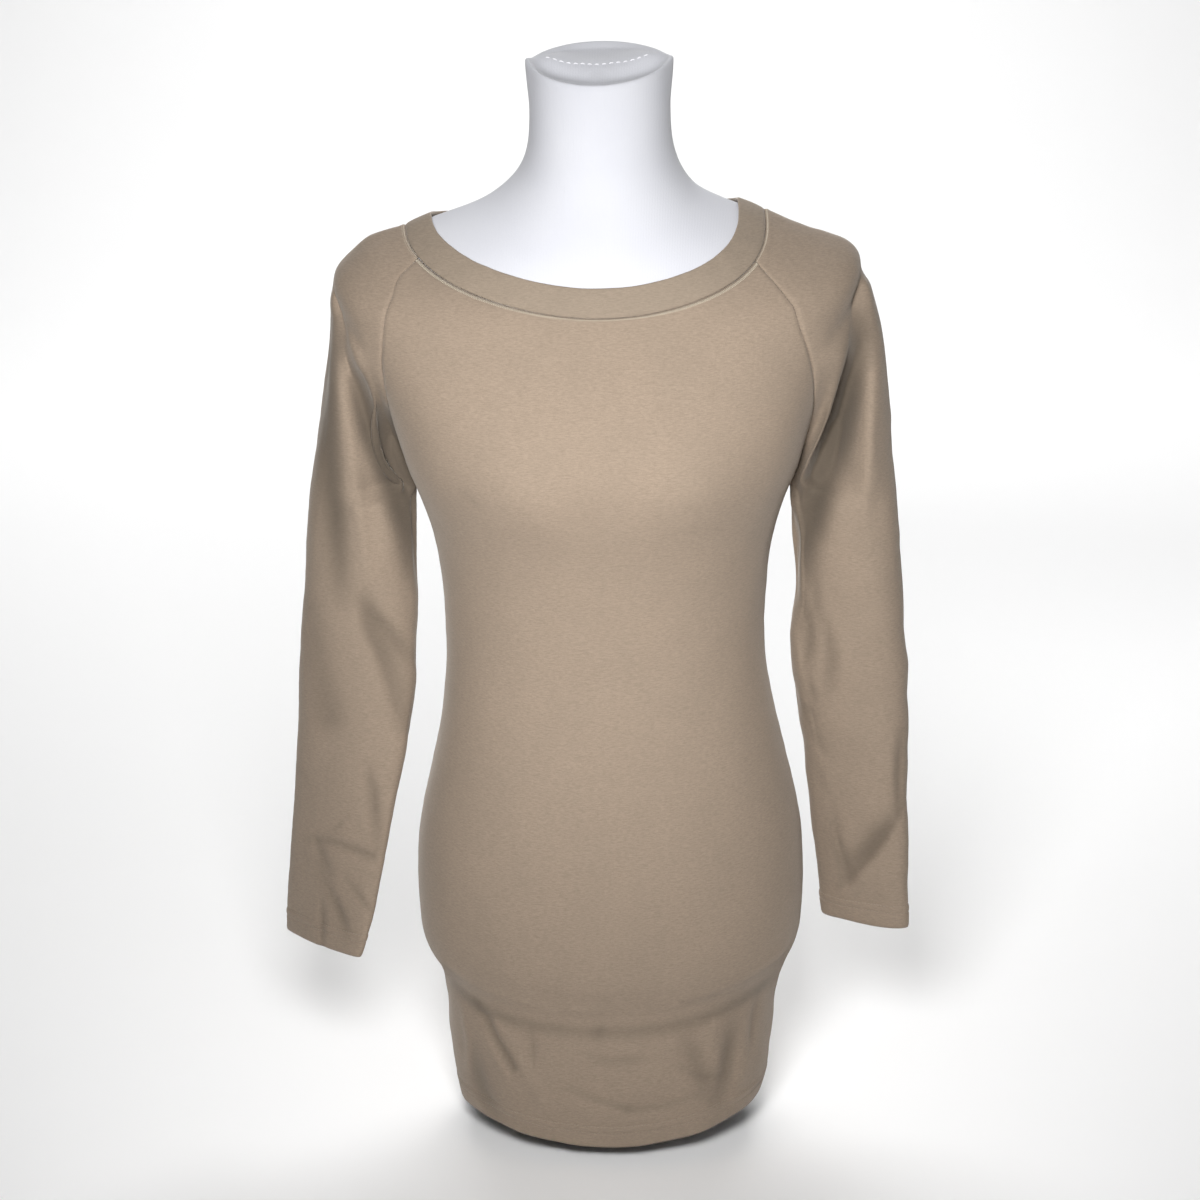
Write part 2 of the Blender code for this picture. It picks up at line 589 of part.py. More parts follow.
def form_rings():
    """The form's rings from its underside to the dish in its neck."""
    angles = np.linspace(-180, 180, 2 * PANEL_COLUMNS, endpoint=False)
    skin = [form_skin(angles, level) for level in FORM_LEVELS]
    edge, neck = skin[0], skin[-1]
    bow = (edge[:, 2] - edge[:, 2].min()) * EDGE_FOLLOW
    flat = UNDERSIDE_TURNS[FLAT_TURN].share
    under = []
    for turn in UNDERSIDE_TURNS:
        ring = edge * turn.share
        ring[:, 2] = turn.height + bow * smooth_step((turn.share - flat) / (1 - flat))
        under.append(ring)
    middle = neck.mean(axis=0)
    dish = []
    for step in NECK_DISH:
        ring = middle + (neck - middle) * step.share
        ring[:, 2] -= step.depth
        dish.append(ring)
    return under + skin + dish


def make_form(material):
    """The limbless form, one closed body from its underside to the dish in its neck."""
    rings = form_rings()
    name = "dress_form"
    mesh = bpy.data.meshes.new(name)
    bm = bmesh.new()
    loops = [[bm.verts.new(tuple(p)) for p in ring] for ring in rings]
    for lower, upper in zip(loops, loops[1:]):
        for k in range(len(lower)):
            after = (k + 1) % len(lower)
            bm.faces.new((lower[k], lower[after], upper[after], upper[k]))
    bm.faces.new(loops[0][::-1])
    bm.faces.new(loops[-1])
    bm.to_mesh(mesh)
    bm.free()
    return add_object(name, mesh, material)


def turned_disc(name, radius, low, high, edge, material):
    """A round plate or rod between two heights, with softened edges."""
    mesh = bpy.data.meshes.new(name)
    bm = bmesh.new()
    bmesh.ops.create_cone(
        bm, cap_ends=True, segments=ROUND_SIDES, radius1=radius, radius2=radius, depth=high - low
    )
    bmesh.ops.translate(bm, verts=bm.verts, vec=(0, 0, (high + low) / 2))
    bm.to_mesh(mesh)
    bm.free()
    thing = add_object(name, mesh, material)
    mesh.set_sharp_from_angle(angle=math.radians(40))
    if edge:
        bevel = thing.modifiers.new("edge", "BEVEL")
        bevel.width = edge
        bevel.segments = 1
        bevel.limit_method = "ANGLE"
    return thing


def make_pedestal(material):
    """A round foot plate, a short pole and the flange that carries the form."""
    flange_top = UNDERSIDE_Z - SEAM_GAP
    flange_low = flange_top - FLANGE_HEIGHT
    turned_disc("pedestal_base", BASE_RADIUS, 0.0, BASE_HEIGHT, BASE_EDGE, material)
    turned_disc(
        "pedestal_pole", POLE_RADIUS, BASE_HEIGHT + SEAM_GAP, flange_low - SEAM_GAP, 0.0, material
    )
    turned_disc("pedestal_flange", FLANGE_RADIUS, flange_low, flange_top, FLANGE_EDGE, material)


for old in list(bpy.data.objects):
    bpy.data.objects.remove(old, do_unlink=True)
bpy.context.scene.collection.children.link(bpy.data.collections.new(COLLECTION))

jersey = make_material("jersey", (0.42, 0.34, 0.26), 0.85)
band_jersey = make_material("band_jersey", (0.40, 0.34, 0.26), 0.82)
form_cover = make_material("form_cover", (0.83, 0.83, 0.86), 0.75)
dark_metal = make_material("dark_metal", (0.16, 0.16, 0.17), 0.45, 0.8)

make_panel("front_panel", ("front_right", "front_left"), -90.0, jersey)
make_panel("back_panel", ("back", "back"), 90.0, jersey)
make_sleeve(RIGHT_SLEEVE, jersey)
make_sleeve(LEFT_SLEEVE, jersey)
make_neckband(band_jersey)
make_form(form_cover)
make_pedestal(dark_metal)
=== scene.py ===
import math
from collections import namedtuple

import bpy
import numpy as np
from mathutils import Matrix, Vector


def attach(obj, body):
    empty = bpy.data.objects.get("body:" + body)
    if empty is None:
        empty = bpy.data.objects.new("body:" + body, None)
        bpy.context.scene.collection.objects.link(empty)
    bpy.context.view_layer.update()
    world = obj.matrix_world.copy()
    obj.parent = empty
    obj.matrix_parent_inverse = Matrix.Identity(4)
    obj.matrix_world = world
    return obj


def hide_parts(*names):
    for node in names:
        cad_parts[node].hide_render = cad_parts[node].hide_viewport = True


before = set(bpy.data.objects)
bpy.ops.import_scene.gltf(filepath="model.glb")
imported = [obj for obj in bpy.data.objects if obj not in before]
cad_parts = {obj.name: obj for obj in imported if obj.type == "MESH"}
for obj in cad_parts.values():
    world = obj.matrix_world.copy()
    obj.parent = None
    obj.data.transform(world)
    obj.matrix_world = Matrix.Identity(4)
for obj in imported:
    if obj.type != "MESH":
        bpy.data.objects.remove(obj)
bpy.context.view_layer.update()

# The viewpoint: a long lens in front of the form, a little above its neck and turned down
# 15 degrees, with the small tilt that the picture has.
LENS_MM = 86.0
SENSOR_MM = 36.0
VIEW_PLACE = (-0.0038, -2.2, 1.03)
VIEW_PITCH = 75.0
VIEW_TILT = -0.75
lens = bpy.data.cameras.new("viewpoint")
lens.lens = LENS_MM
lens.sensor_width = SENSOR_MM
viewpoint = bpy.data.objects.new("viewpoint", lens)
viewpoint.location = VIEW_PLACE
viewpoint.rotation_mode = "ZYX"
viewpoint.rotation_euler = (math.radians(VIEW_PITCH), 0.0, math.radians(VIEW_TILT))
bpy.context.scene.collection.objects.link(viewpoint)
bpy.context.scene.camera = viewpoint


# The pedestal: a turned steel foot plate, a short tube and the flange that the form is
# screwed down on. All three are powder coated dark grey, with a fine orange-peel grain.
class Wire:
    """One output in a finish. Arithmetic on it adds Math nodes, and add makes any node."""

    def __init__(self, tree, socket=None):
        self.tree = tree
        self.socket = socket

    def add(self, kind, settings=None, values=None, out=0):
        """A node: its type, its settings, and then the values or links of its sockets."""
        node = self.tree.nodes.new("ShaderNode" + kind)
        for name, value in (settings or {}).items():
            if name == "stops":
                stops = node.color_ramp.elements
                while len(stops) < len(value):
                    stops.new(1.0)
                for stop, (place, colour) in zip(stops, value):
                    stop.position = place
                    stop.color = (*colour, 1.0)
            else:
                setattr(node, name, value)
        for name, value in (values or {}).items():
            if isinstance(value, Wire):
                self.tree.links.new(value.socket, node.inputs[name])
            else:
                node.inputs[name].default_value = value
        return Wire(self.tree, node.outputs[out])

    def math(self, operation, *values):
        return self.add("Math", {"operation": operation}, dict(enumerate(values)))

    def between(self, low, high):
        """A colour mixed from two, by this value."""
        sockets = {0: self}
        for socket, colour in ((6, low), (7, high)):
            sockets[socket] = colour if isinstance(colour, Wire) else (*colour, 1.0)
        return self.add("Mix", {"data_type": "RGBA"}, sockets, out=2)

    def __add__(self, other):
        return self.math("ADD", self, other)

    def __sub__(self, other):
        return self.math("SUBTRACT", self, other)

    def __rsub__(self, other):
        return self.math("SUBTRACT", other, self)

    def __mul__(self, other):
        return self.math("MULTIPLY", self, other)

    __radd__ = __add__
    __rmul__ = __mul__


def new_finish(name):
    """A material, and the wire to build its finish on."""
    material = bpy.data.materials.new(name)
    material.use_nodes = True
    return material, Wire(material.node_tree)


def coat(material, **sockets):
    """Feed the material's shader: a socket's name, with _ for spaces, and its value."""
    shader = material.node_tree.nodes["Principled BSDF"]
    for name, value in sockets.items():
        socket = shader.inputs[name.replace("_", " ")]
        if isinstance(value, Wire):
            material.node_tree.links.new(value.socket, socket)
        else:
            socket.default_value = value


def place_on(wire, stretch=(1.0, 1.0, 1.0)):
    """Where a point of the object is, in metres, stretched along each axis."""
    position = wire.add("NewGeometry")
    return wire.add("VectorMath", {"operation": "MULTIPLY"}, {0: position, 1: stretch})


def speckle(wire, size, stretch=(1.0, 1.0, 1.0), detail=2.0):
    """Noise from 0 to 1, with grains of about this size in metres."""
    values = {"Vector": place_on(wire, stretch), "Scale": 1.0 / size, "Detail": detail}
    return wire.add("TexNoise", None, values)


powder_coat, wire = new_finish("powder_coat")
peel = speckle(wire, 0.0012)
worn = speckle(wire, 0.02)
coat(
    powder_coat,
    Base_Color=worn.between((0.018, 0.018, 0.020), (0.030, 0.030, 0.033)),
    Roughness=worn * 0.12 + 0.38,
    Normal=wire.add("Bump", None, {"Strength": 0.25, "Distance": 0.0002, "Height": peel}),
)
for node in ("pedestal_base", "pedestal_pole", "pedestal_flange"):
    for material_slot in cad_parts[node].material_slots:
        material_slot.material = powder_coat


# The dress form: carved foam under a white stretch knit, which is pulled over the neck,
# pinched at its two sides and closed across the sunken top with a running stitch. Its
# surface is the body that every piece of the top is laid on.
Ring = namedtuple("Ring", "wide side_z front front_z back back_z squareness middle lean tilt")
# A ring runs round the body. It is half "wide" at the sides, at height side_z; its front
# centre is at y = front and z = front_z, its back centre at y = back and z = back_z. The
# body isn't quite even: "middle" is the x of a ring's sides, "lean" that of its front and
# back, and "tilt" lifts its +X side.
BODY_RINGS = (
    Ring(0.1240, 0.0290, -0.1000, 0.0150, 0.0950, 0.0210, 2.20, 0.0005, 0.0060, 0.0030),
    Ring(0.1280, 0.0500, -0.1035, 0.0400, 0.0985, 0.0450, 2.20, 0.0010, 0.0040, 0.0020),
    Ring(0.1325, 0.0770, -0.1045, 0.0740, 0.1000, 0.0760, 2.20, 0.0010, 0.0000, 0.0000),
    Ring(0.1340, 0.1060, -0.1040, 0.1080, 0.1005, 0.1060, 2.20, 0.0015, 0.0000, 0.0000),
    Ring(0.1365, 0.1250, -0.1065, 0.1340, 0.1040, 0.1270, 2.20, 0.0020, 0.0000, 0.0000),
    Ring(0.1415, 0.1430, -0.1125, 0.1500, 0.1120, 0.1450, 2.20, 0.0035, 0.0000, 0.0000),
    Ring(0.1525, 0.1620, -0.1155, 0.1680, 0.1175, 0.1640, 2.20, 0.0020, 0.0000, 0.0000),
    Ring(0.1560, 0.2050, -0.1175, 0.2080, 0.1210, 0.2060, 2.20, 0.0020, 0.0000, 0.0000),
    Ring(0.1545, 0.2500, -0.1165, 0.2500, 0.1130, 0.2500, 2.20, 0.0020, 0.0000, 0.0000),
    Ring(0.1450, 0.2980, -0.1125, 0.2980, 0.0990, 0.2980, 2.20, 0.0025, 0.0000, 0.0000),
    Ring(0.1330, 0.3490, -0.1035, 0.3490, 0.0850, 0.3490, 2.20, 0.0020, 0.0000, 0.0000),
    Ring(0.1256, 0.4050, -0.0960, 0.4050, 0.0770, 0.4050, 2.20, 0.0000, 0.0000, 0.0000),
    Ring(0.1270, 0.4550, -0.0990, 0.4550, 0.0810, 0.4550, 2.25, 0.0000, 0.0000, 0.0000),
    Ring(0.1325, 0.4980, -0.1085, 0.4980, 0.0870, 0.4980, 2.35, 0.0000, 0.0000, 0.0000),
    Ring(0.1420, 0.5300, -0.1190, 0.5300, 0.0910, 0.5300, 2.45, 0.0000, 0.0000, 0.0000),
    Ring(0.1525, 0.5560, -0.1245, 0.5580, 0.0930, 0.5560, 2.55, 0.0000, 0.0000, 0.0000),
    Ring(0.1610, 0.5870, -0.1215, 0.5880, 0.0940, 0.5870, 2.65, 0.0000, 0.0000, 0.0000),
    Ring(0.1700, 0.6150, -0.1125, 0.6140, 0.0940, 0.6170, 2.70, -0.0010, 0.0000, 0.0000),
    Ring(0.1805, 0.6450, -0.1030, 0.6370, 0.0920, 0.6450, 2.70, -0.0020, 0.0000, 0.0010),
    Ring(0.1925, 0.6750, -0.0955, 0.6550, 0.0890, 0.6680, 2.60, -0.0035, 0.0000, 0.0020),
    Ring(0.2038, 0.7050, -0.0915, 0.6670, 0.0860, 0.6900, 2.40, -0.0028, 0.0010, 0.0020),
    Ring(0.1905, 0.7230, -0.0895, 0.6720, 0.0840, 0.7020, 2.40, 0.0005, 0.0020, 0.0015),
    Ring(0.1660, 0.7345, -0.0880, 0.6755, 0.0830, 0.7120, 2.45, -0.0095, 0.0040, 0.0010),
    Ring(0.1365, 0.7450, -0.0865, 0.6790, 0.0810, 0.7220, 2.50, -0.0115, 0.0060, 0.0045),
    Ring(0.1190, 0.7525, -0.0790, 0.7015, 0.0745, 0.7420, 2.40, -0.0125, 0.0060, 0.0040),
    Ring(0.0895, 0.7630, -0.0715, 0.7220, 0.0680, 0.7570, 2.30, -0.0040, 0.0030, 0.0020),
    Ring(0.0738, 0.7730, -0.0645, 0.7400, 0.0630, 0.7710, 2.20, -0.0010, 0.0015, 0.0000),
    Ring(0.0608, 0.7910, -0.0570, 0.7650, 0.0580, 0.7930, 2.10, 0.0010, 0.0000, 0.0000),
    Ring(0.0563, 0.8150, -0.0530, 0.7970, 0.0540, 0.8230, 2.05, 0.0010, 0.0000, 0.0000),
    Ring(0.0560, 0.8620, -0.0500, 0.8470, 0.0510, 0.8730, 2.05, 0.0010, 0.0000, 0.0010),
)
# Rings that pieces start or end on, counted from the hem
FORM_EDGE = 4
UNDERARM = 14
SHOULDER_TIP = 20
NECK_SEAM = 23
NECK_EDGE = 24
NECK_TOP = 29
# How sharply a ring's height changes from its side to its front: at the hem, and above
HEM_BOW = 3.0
RING_BOW = 1.3
# How closely a ring's "middle" keeps to its sides
SIDE_HOLD = 3
# The bust: two soft lobes that the jersey bridges
BUST_SIDE = 0.066
BUST_HEIGHT = 0.552
BUST_WIDTH = 0.040
BUST_RISE = 0.040
BUST_DEPTH = 0.007
# A table is read at a few places close together, so that the surface has no kinks
SOFTENING = ((-0.6, 1 / 16), (-0.3, 4 / 16), (0.0, 6 / 16), (0.3, 4 / 16), (0.6, 1 / 16))
# The form lies inside the middle of the cloth by its ease, and more above the bust
FORM_EASE = 0.0014
CHEST_EASE = 0.0012
CHEST_EASE_FROM = 12.5


def monotone_curve(xs, table, at):
    """A smooth curve through the rows of a table, with no overshoot."""
    steps = np.diff(xs)[:, None]
    slopes = np.diff(table, axis=0) / steps
    tangents = np.zeros_like(table)
    tangents[0], tangents[-1] = slopes[0], slopes[-1]
    before, after = slopes[:-1], slopes[1:]
    weight_a = 2 * steps[1:] + steps[:-1]
    weight_b = steps[1:] + 2 * steps[:-1]
    with np.errstate(divide="ignore", invalid="ignore"):
        inner = (weight_a + weight_b) / (weight_a / before + weight_b / after)
    tangents[1:-1] = np.where(before * after > 0, inner, 0.0)
    i = np.clip(np.searchsorted(xs, at, side="right") - 1, 0, len(steps) - 1)
    h = steps[i]
    t = ((at - xs[i]) / h[..., 0])[..., None]
    return (
        table[i] * (1 + 2 * t) * (1 - t) ** 2
        + tangents[i] * h * t * (1 - t) ** 2
        + table[i + 1] * t**2 * (3 - 2 * t)
        + tangents[i + 1] * h * t**2 * (t - 1)
    )


def soft_curve(xs, table, at, spread):
    """The same curve, softened over a spread. It still starts and ends at its ends."""
    xs, table = np.asarray(xs, float), np.asarray(table, float)
    at = np.clip(np.asarray(at, float), xs[0], xs[-1])
    total = 0.0
    for shift, weight in SOFTENING:
        place = at + shift * spread
        low, high = place < xs[0], place > xs[-1]
        folded = np.where(low, 2 * xs[0] - place, np.where(high, 2 * xs[-1] - place, place))
        value = monotone_curve(xs, table, folded)
        value = np.where(low[..., None], 2 * table[0] - value, value)
        value = np.where(high[..., None], 2 * table[-1] - value, value)
        total = total + weight * value
    return total


def read_table(rows, at, spread):
    """A table's row at a place, read softly. The rows' first column says where they are."""
    kind = type(rows[0])
    values = soft_curve([row[0] for row in rows], rows, at, spread)
    return kind(*np.moveaxis(values, -1, 0))


def smooth_step(value):
    """0 below 0, 1 above 1, and a soft S between."""
    t = np.clip(value, 0.0, 1.0)
    return t * t * (3 - 2 * t)


def body_point(angle, level):
    """The middle of the cloth on the body, at an angle in degrees from the wearer's left
    side, where -90 is the front, and at a ring level."""
    angle, level = np.broadcast_arrays(np.asarray(angle, float), np.asarray(level, float))
    rows = soft_curve(np.arange(len(BODY_RINGS)), BODY_RINGS, level, 1.0)
    ring = Ring(*np.moveaxis(rows, -1, 0))
    turn = np.radians(angle)
    cos, sin = np.cos(turn), np.sin(turn)
    n = ring.squareness
    swell = (np.abs(cos) ** n + np.abs(sin) ** n) ** (-1 / n)
    in_front = sin < 0
    reach = np.where(in_front, -ring.front, ring.back)
    end_z = np.where(in_front, ring.front_z, ring.back_z)
    at_side = np.abs(cos) ** SIDE_HOLD
    x = ring.middle * at_side + ring.lean * (1 - at_side) + ring.wide * swell * cos
    y = reach * swell * sin
    bow = RING_BOW + (HEM_BOW - RING_BOW) * np.clip(1 - level, 0, 1)
    z = ring.side_z + (end_z - ring.side_z) * np.abs(sin) ** bow + ring.tilt * cos
    across = np.exp(-(((np.abs(x) - BUST_SIDE) / BUST_WIDTH) ** 2))
    upright = np.exp(-(((z - BUST_HEIGHT) / BUST_RISE) ** 2))
    y = y - BUST_DEPTH * across * upright * in_front * np.abs(sin)
    return np.stack([x, y, z], -1)


def body_normal(angle, level):
    """The outward direction of the body."""
    step = 0.02
    along = body_point(angle + 1.0, level) - body_point(angle - 1.0, level)
    top = np.minimum(np.asarray(level, float) + step, NECK_TOP)
    up = body_point(angle, top) - body_point(angle, top - 2 * step)
    normal = np.cross(along, up)
    return normal / np.linalg.norm(normal, axis=-1, keepdims=True)


def even_levels(low, high, step, angle=-90.0):
    """Levels a step apart in metres, along a line up the body."""
    fine = np.linspace(low, high, 400)
    line = body_point(angle, fine)
    run = np.concatenate([[0.0], np.cumsum(np.linalg.norm(np.diff(line, axis=0), axis=1))])
    count = max(2, round(run[-1] / step))
    return np.interp(np.linspace(0, run[-1], count + 1), run, fine)


def lay_sheet(name, points, finish, closed=None, thickness=0.0, sunk=None):
    """A grid of points as one smooth piece, thickened both ways. Rows that are closed end where they
    start, and "sunk" says how deep in a fold each point lies, from 0 to 1; it is kept as the painted shade
    that darkens the cloth's colour."""
    rows, columns = points.shape[:2]
    closed = np.zeros(rows, bool) if closed is None else np.asarray(closed)
    index = np.arange(rows * columns).reshape(rows, columns)
    index[closed, -1] = index[closed, 0]
    quads = np.stack([index[:-1, :-1], index[:-1, 1:], index[1:, 1:], index[1:, :-1]], -1)
    quads = quads.reshape(-1, 4)
    used, quads = np.unique(quads, return_inverse=True)
    quads = quads.reshape(-1, 4)
    verts = points.reshape(-1, 3)[used]
    corner = verts[quads]
    normal = np.cross(corner[:, 2] - corner[:, 0], corner[:, 3] - corner[:, 1])
    middle = points.mean(axis=1, keepdims=True)
    outward = (corner.mean(axis=1) - middle.repeat(columns - 1, axis=1)[:-1].reshape(-1, 3))
    if (normal * outward).sum() < 0:
        quads = quads[:, ::-1]
    mesh = bpy.data.meshes.new(name)
    mesh.from_pydata(verts.tolist(), [], quads.tolist())
    mesh.shade_smooth()
    mesh.materials.append(finish)
    # The fold depths are stored for the finish, which paints shade into the colour by them.
    if sunk is not None:
        depth = mesh.attributes.new("fold_depth", "FLOAT", "POINT")
        depth.data.foreach_set("value", sunk.reshape(-1)[used].astype(np.float32))
    piece = bpy.data.objects.new(name, mesh)
    bpy.context.scene.collection.objects.link(piece)
    if thickness:
        wall = piece.modifiers.new("wall", "SOLIDIFY")
        wall.thickness = thickness
        wall.offset = 0.0
        wall.use_even_offset = False
    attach(piece, "root")
    return piece


form_knit, wire = new_finish("form_knit")
grain = speckle(wire, 0.0011, (1.0, 1.0, 0.35), 3.0)
cloud = speckle(wire, 0.05)
ribs = wire.add(
    "TexWave",
    {"wave_type": "BANDS", "bands_direction": "X"},
    {"Vector": place_on(wire), "Scale": 260.0, "Distortion": 1.5, "Detail": 1.0},
)
coat(
    form_knit,
    Base_Color=cloud.between((0.50, 0.505, 0.545), (0.55, 0.555, 0.585)),
    Roughness=0.85,
    Sheen_Weight=0.15,
    Sheen_Roughness=0.5,
    Normal=wire.add(
        "Bump", None, {"Strength": 0.35, "Distance": 0.0003, "Height": ribs * 0.4 + grain}
    ),
)

FORM_COLUMNS = 216
FORM_ROW_STEP = 0.004
# The rings of the underside: share of the edge's ring, and height over its flat middle. It
# follows half of the edge's bow, more and more towards the edge.
UNDERSIDE_Z = 0.1165
UNDERSIDE_BOW = 0.5
FLAT_MIDDLE = 0.86
BOW_SPREAD = 0.14
CENTRE_SHARE = 0.02
UNDERSIDE = ((0.86, 0.0), (0.90, 0.0006), (0.93, 0.0020), (0.955, 0.0040), (0.975, 0.0065))
# The sunken top: share of the neck's ring, and depth below it
NECK_DISH = (
    (0.985, -0.0012),
    (0.965, -0.0014),
    (0.935, -0.0002),
    (0.90, 0.0025),
    (0.84, 0.0062),
    (0.76, 0.0095),
    (0.66, 0.0120),
    (0.54, 0.0138),
    (0.40, 0.0148),
    (0.26, 0.0152),
    (0.12, 0.0154),
)
# Rings outside this share of the neck's keep the height of its rim
RIM_SHARE = 0.9
# The cover is pinched into a corner at each side of the neck, over its last rings
CORNER_PINCH = 0.0028
CORNER_LIFT = 0.0030
CORNER_WIDTH = 12.0
CORNER_RINGS = 14
CORNER_DROP = 0.035
FRONT_LIFT_SHARE = 0.45
# The cover is closed behind the neck's middle, on a ridge that falls steeply to the front
SEWN_BACK = 0.018
SEWN_RIDGE = 0.0105
RIDGE_FRONT = 0.0085
RIDGE_BACK = 0.0240
RIDGE_FROM = 0.97
RIDGE_SPREAD = 0.2


def form_skin(angles, level):
    """A ring of the form, inside the cloth by its ease."""
    ease = FORM_EASE + CHEST_EASE * smooth_step(level - CHEST_EASE_FROM)
    return body_point(angles, level) - body_normal(angles, level) * ease[..., None]


angles = np.linspace(-180, 180, FORM_COLUMNS + 1)
skin = form_skin(angles, even_levels(FORM_EDGE, NECK_TOP, FORM_ROW_STEP)[:, None])
edge, neck = skin[0], skin[-1]
under = []
for share, rise in UNDERSIDE:
    ring = edge * share
    bow = (edge[:, 2] - edge[:, 2].min()) * UNDERSIDE_BOW
    ring[:, 2] = UNDERSIDE_Z + rise + bow * smooth_step((share - FLAT_MIDDLE) / BOW_SPREAD)
    under.append(ring)
floor_ring = under[0] * (CENTRE_SHARE, CENTRE_SHARE, 1.0)
off_corner = np.minimum(np.abs(angles), 180 - np.abs(angles))
pinch = np.exp(-((off_corner / CORNER_WIDTH) ** 2))
outwards = neck - neck.mean(axis=0)
outwards /= np.linalg.norm(outwards, axis=1, keepdims=True)
for ring in skin[-CORNER_RINGS:]:
    near_top = smooth_step((ring[:, 2] - neck[:, 2] + CORNER_DROP) / CORNER_DROP)
    ring += outwards * (pinch * near_top * CORNER_PINCH)[:, None] * (1, 1, 0)
    lift_share = np.where(np.abs(angles) > 90, 1.0, FRONT_LIFT_SHARE)
    ring[:, 2] += pinch * near_top**2 * CORNER_LIFT * lift_share
middle = neck.mean(axis=0)
dish = []
for share, depth in NECK_DISH:
    ring = middle + (neck - middle) * (share, share, 1.0)
    inner = middle[2] + (neck[:, 2] - middle[2]) * share
    flat = np.where(share > RIM_SHARE, neck[:, 2], inner)
    ring[:, 2] = flat - depth
    behind = ring[:, 1] - middle[1] - SEWN_BACK
    ridge = np.exp(-((behind / np.where(behind < 0, RIDGE_FRONT, RIDGE_BACK)) ** 2))
    ring[:, 2] += SEWN_RIDGE * ridge * smooth_step((RIDGE_FROM - share) / RIDGE_SPREAD)
    dish.append(ring)
dress_form = lay_sheet(
    "dress_form_cover",
    np.array([floor_ring, *under, *skin, *dish, dish[-1] * 0 + dish[-1].mean(axis=0)]),
    form_knit,
    np.ones(len(under) + len(skin) + len(dish) + 2, bool),
)
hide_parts("dress_form")


# The cloth: a fine single jersey in a heathered taupe, soft and matt. Its courses run
# round the body, so the yarn's light and dark flecks show as short level streaks.
CLOTH = 0.0012
# Shade painted into the jersey's colour in a fold: how far it darkens towards the fold's shade colour, and
# the fold depth over which that grows.
FOLD_SHADE = 0.86
FOLD_SCALE = 0.0042


def dye_jersey(name, light, dark, tired, fold_shade_colour):
    """The jersey's finish, from its light, dark and worn shades and the shade colour painted into its
    folds.
    """
    cloth, wire = new_finish(name)
    streaks = speckle(wire, 0.0011, (0.30, 0.30, 1.6), 3.0)
    flecks = speckle(wire, 0.0007, detail=2.0)
    cloud = speckle(wire, 0.035, (1.0, 1.0, 0.6), 3.0)
    soft_cloud = cloud.add("MapRange", None, {0: cloud, 1: 0.3, 2: 0.7, 3: 0.0, 4: 1.0})
    heather = streaks * 0.65 + flecks * 0.35
    heather = heather.add("MapRange", None, {0: heather, 1: 0.36, 2: 0.64, 3: 0.0, 4: 1.0})
    colour = heather.between(dark, light)
    shade = soft_cloud * 0.16
    colour = shade.between(colour, tired)
    # Painted shade: the base colour darkens towards the fold's shade colour by how deep each point lies in
    # a fold.
    folds = wire.add("Attribute", {"attribute_name": "fold_depth"}, out="Fac")
    colour = (folds * FOLD_SHADE).between(colour, fold_shade_colour)
    wales = wire.add(
        "TexWave",
        {"wave_type": "BANDS", "bands_direction": "X"},
        {"Vector": place_on(wire), "Scale": 330.0, "Distortion": 2.0, "Detail": 1.0},
    )
    knit = wales * 0.35 + streaks * 0.8 + flecks * 0.5
    coat(
        cloth,
        Base_Color=colour,
        Roughness=0.9,
        Specular_IOR_Level=0.25,
        Sheen_Weight=0.22,
        Sheen_Roughness=0.45,
        Sheen_Tint=(0.95, 0.88, 0.80, 1.0),
        Normal=wire.add("Bump", None, {"Strength": 0.45, "Distance": 0.0004, "Height": knit}),
    )
    return cloth


# The last colour is the shade painted into the deepest folds.
jersey = dye_jersey(
    "jersey",
    (0.285, 0.222, 0.168),
    (0.222, 0.172, 0.128),
    (0.180, 0.146, 0.112),
    (0.062, 0.050, 0.037),
)

# The raglan seams: their angle from the side of the body, in degrees, by level. They
# cross a ring aslant, so the gap between them is measured with a slant.
Raglan = namedtuple("Raglan", "level front_right front_left back")
RAGLAN_SEAMS = (
    Raglan(14, 0.0, 0.0, 0.0),
    Raglan(15, 7.0, 7.0, 8.0),
    Raglan(16, 15.0, 15.0, 17.0),
    Raglan(17, 24.0, 26.0, 26.0),
    Raglan(18, 32.0, 36.0, 36.0),
    Raglan(19, 38.5, 43.5, 43.5),
    Raglan(20, 41.5, 47.5, 47.5),
    Raglan(21, 38.5, 46.8, 48.0),
    Raglan(22, 31.8, 41.5, 43.0),
    Raglan(23, 24.0, 34.5, 34.0),
)
SEAM_SLANT = 1.6
SEAM_GAP = 0.0003
# How far from a seam the cloth rolls down into it, and how deep
SEAM_ROLL = 0.0016
SEAM_SINK = 0.0007
# Columns close to a seam, by their distance from it, and how many lie between
EDGE_COLUMNS = (0.0, 0.0006, 0.0013, 0.0022, 0.0034, 0.0050)
BETWEEN_COLUMNS = 112
# The hem: cloth turned up once and held by a twin needle, two lines of stitch
HEM_DEPTH = 0.020
HEM_STEP = 0.0007
HEM_LINES = (0.0130, 0.0190)
STITCH_DENT = 0.00045
# The cloth next to the neck seam is raised by the seam's own edges, pressed down under it
ALLOWANCE = 0.0044
ALLOWANCE_RISE = 0.0005
# How far a crease can sink over the form, and how much further where nothing is behind it
ROOM_OVER_FORM = 0.0006
ROOM_BELOW_FORM = 0.0120


def seam_angle(level, column):
    """How far a raglan seam lies from the side of the body, in degrees."""
    level = np.asarray(level, float)
    return getattr(read_table(RAGLAN_SEAMS, level, 1.0), column) * (level > UNDERARM)


def seam_inset(angle, level):
    """The angle that takes a piece half a seam gap away from a seam at this angle."""
    step = body_point(angle + 0.5, level) - body_point(angle - 0.5, level)
    return SEAM_SLANT * SEAM_GAP / 2 / np.linalg.norm(step, axis=-1)


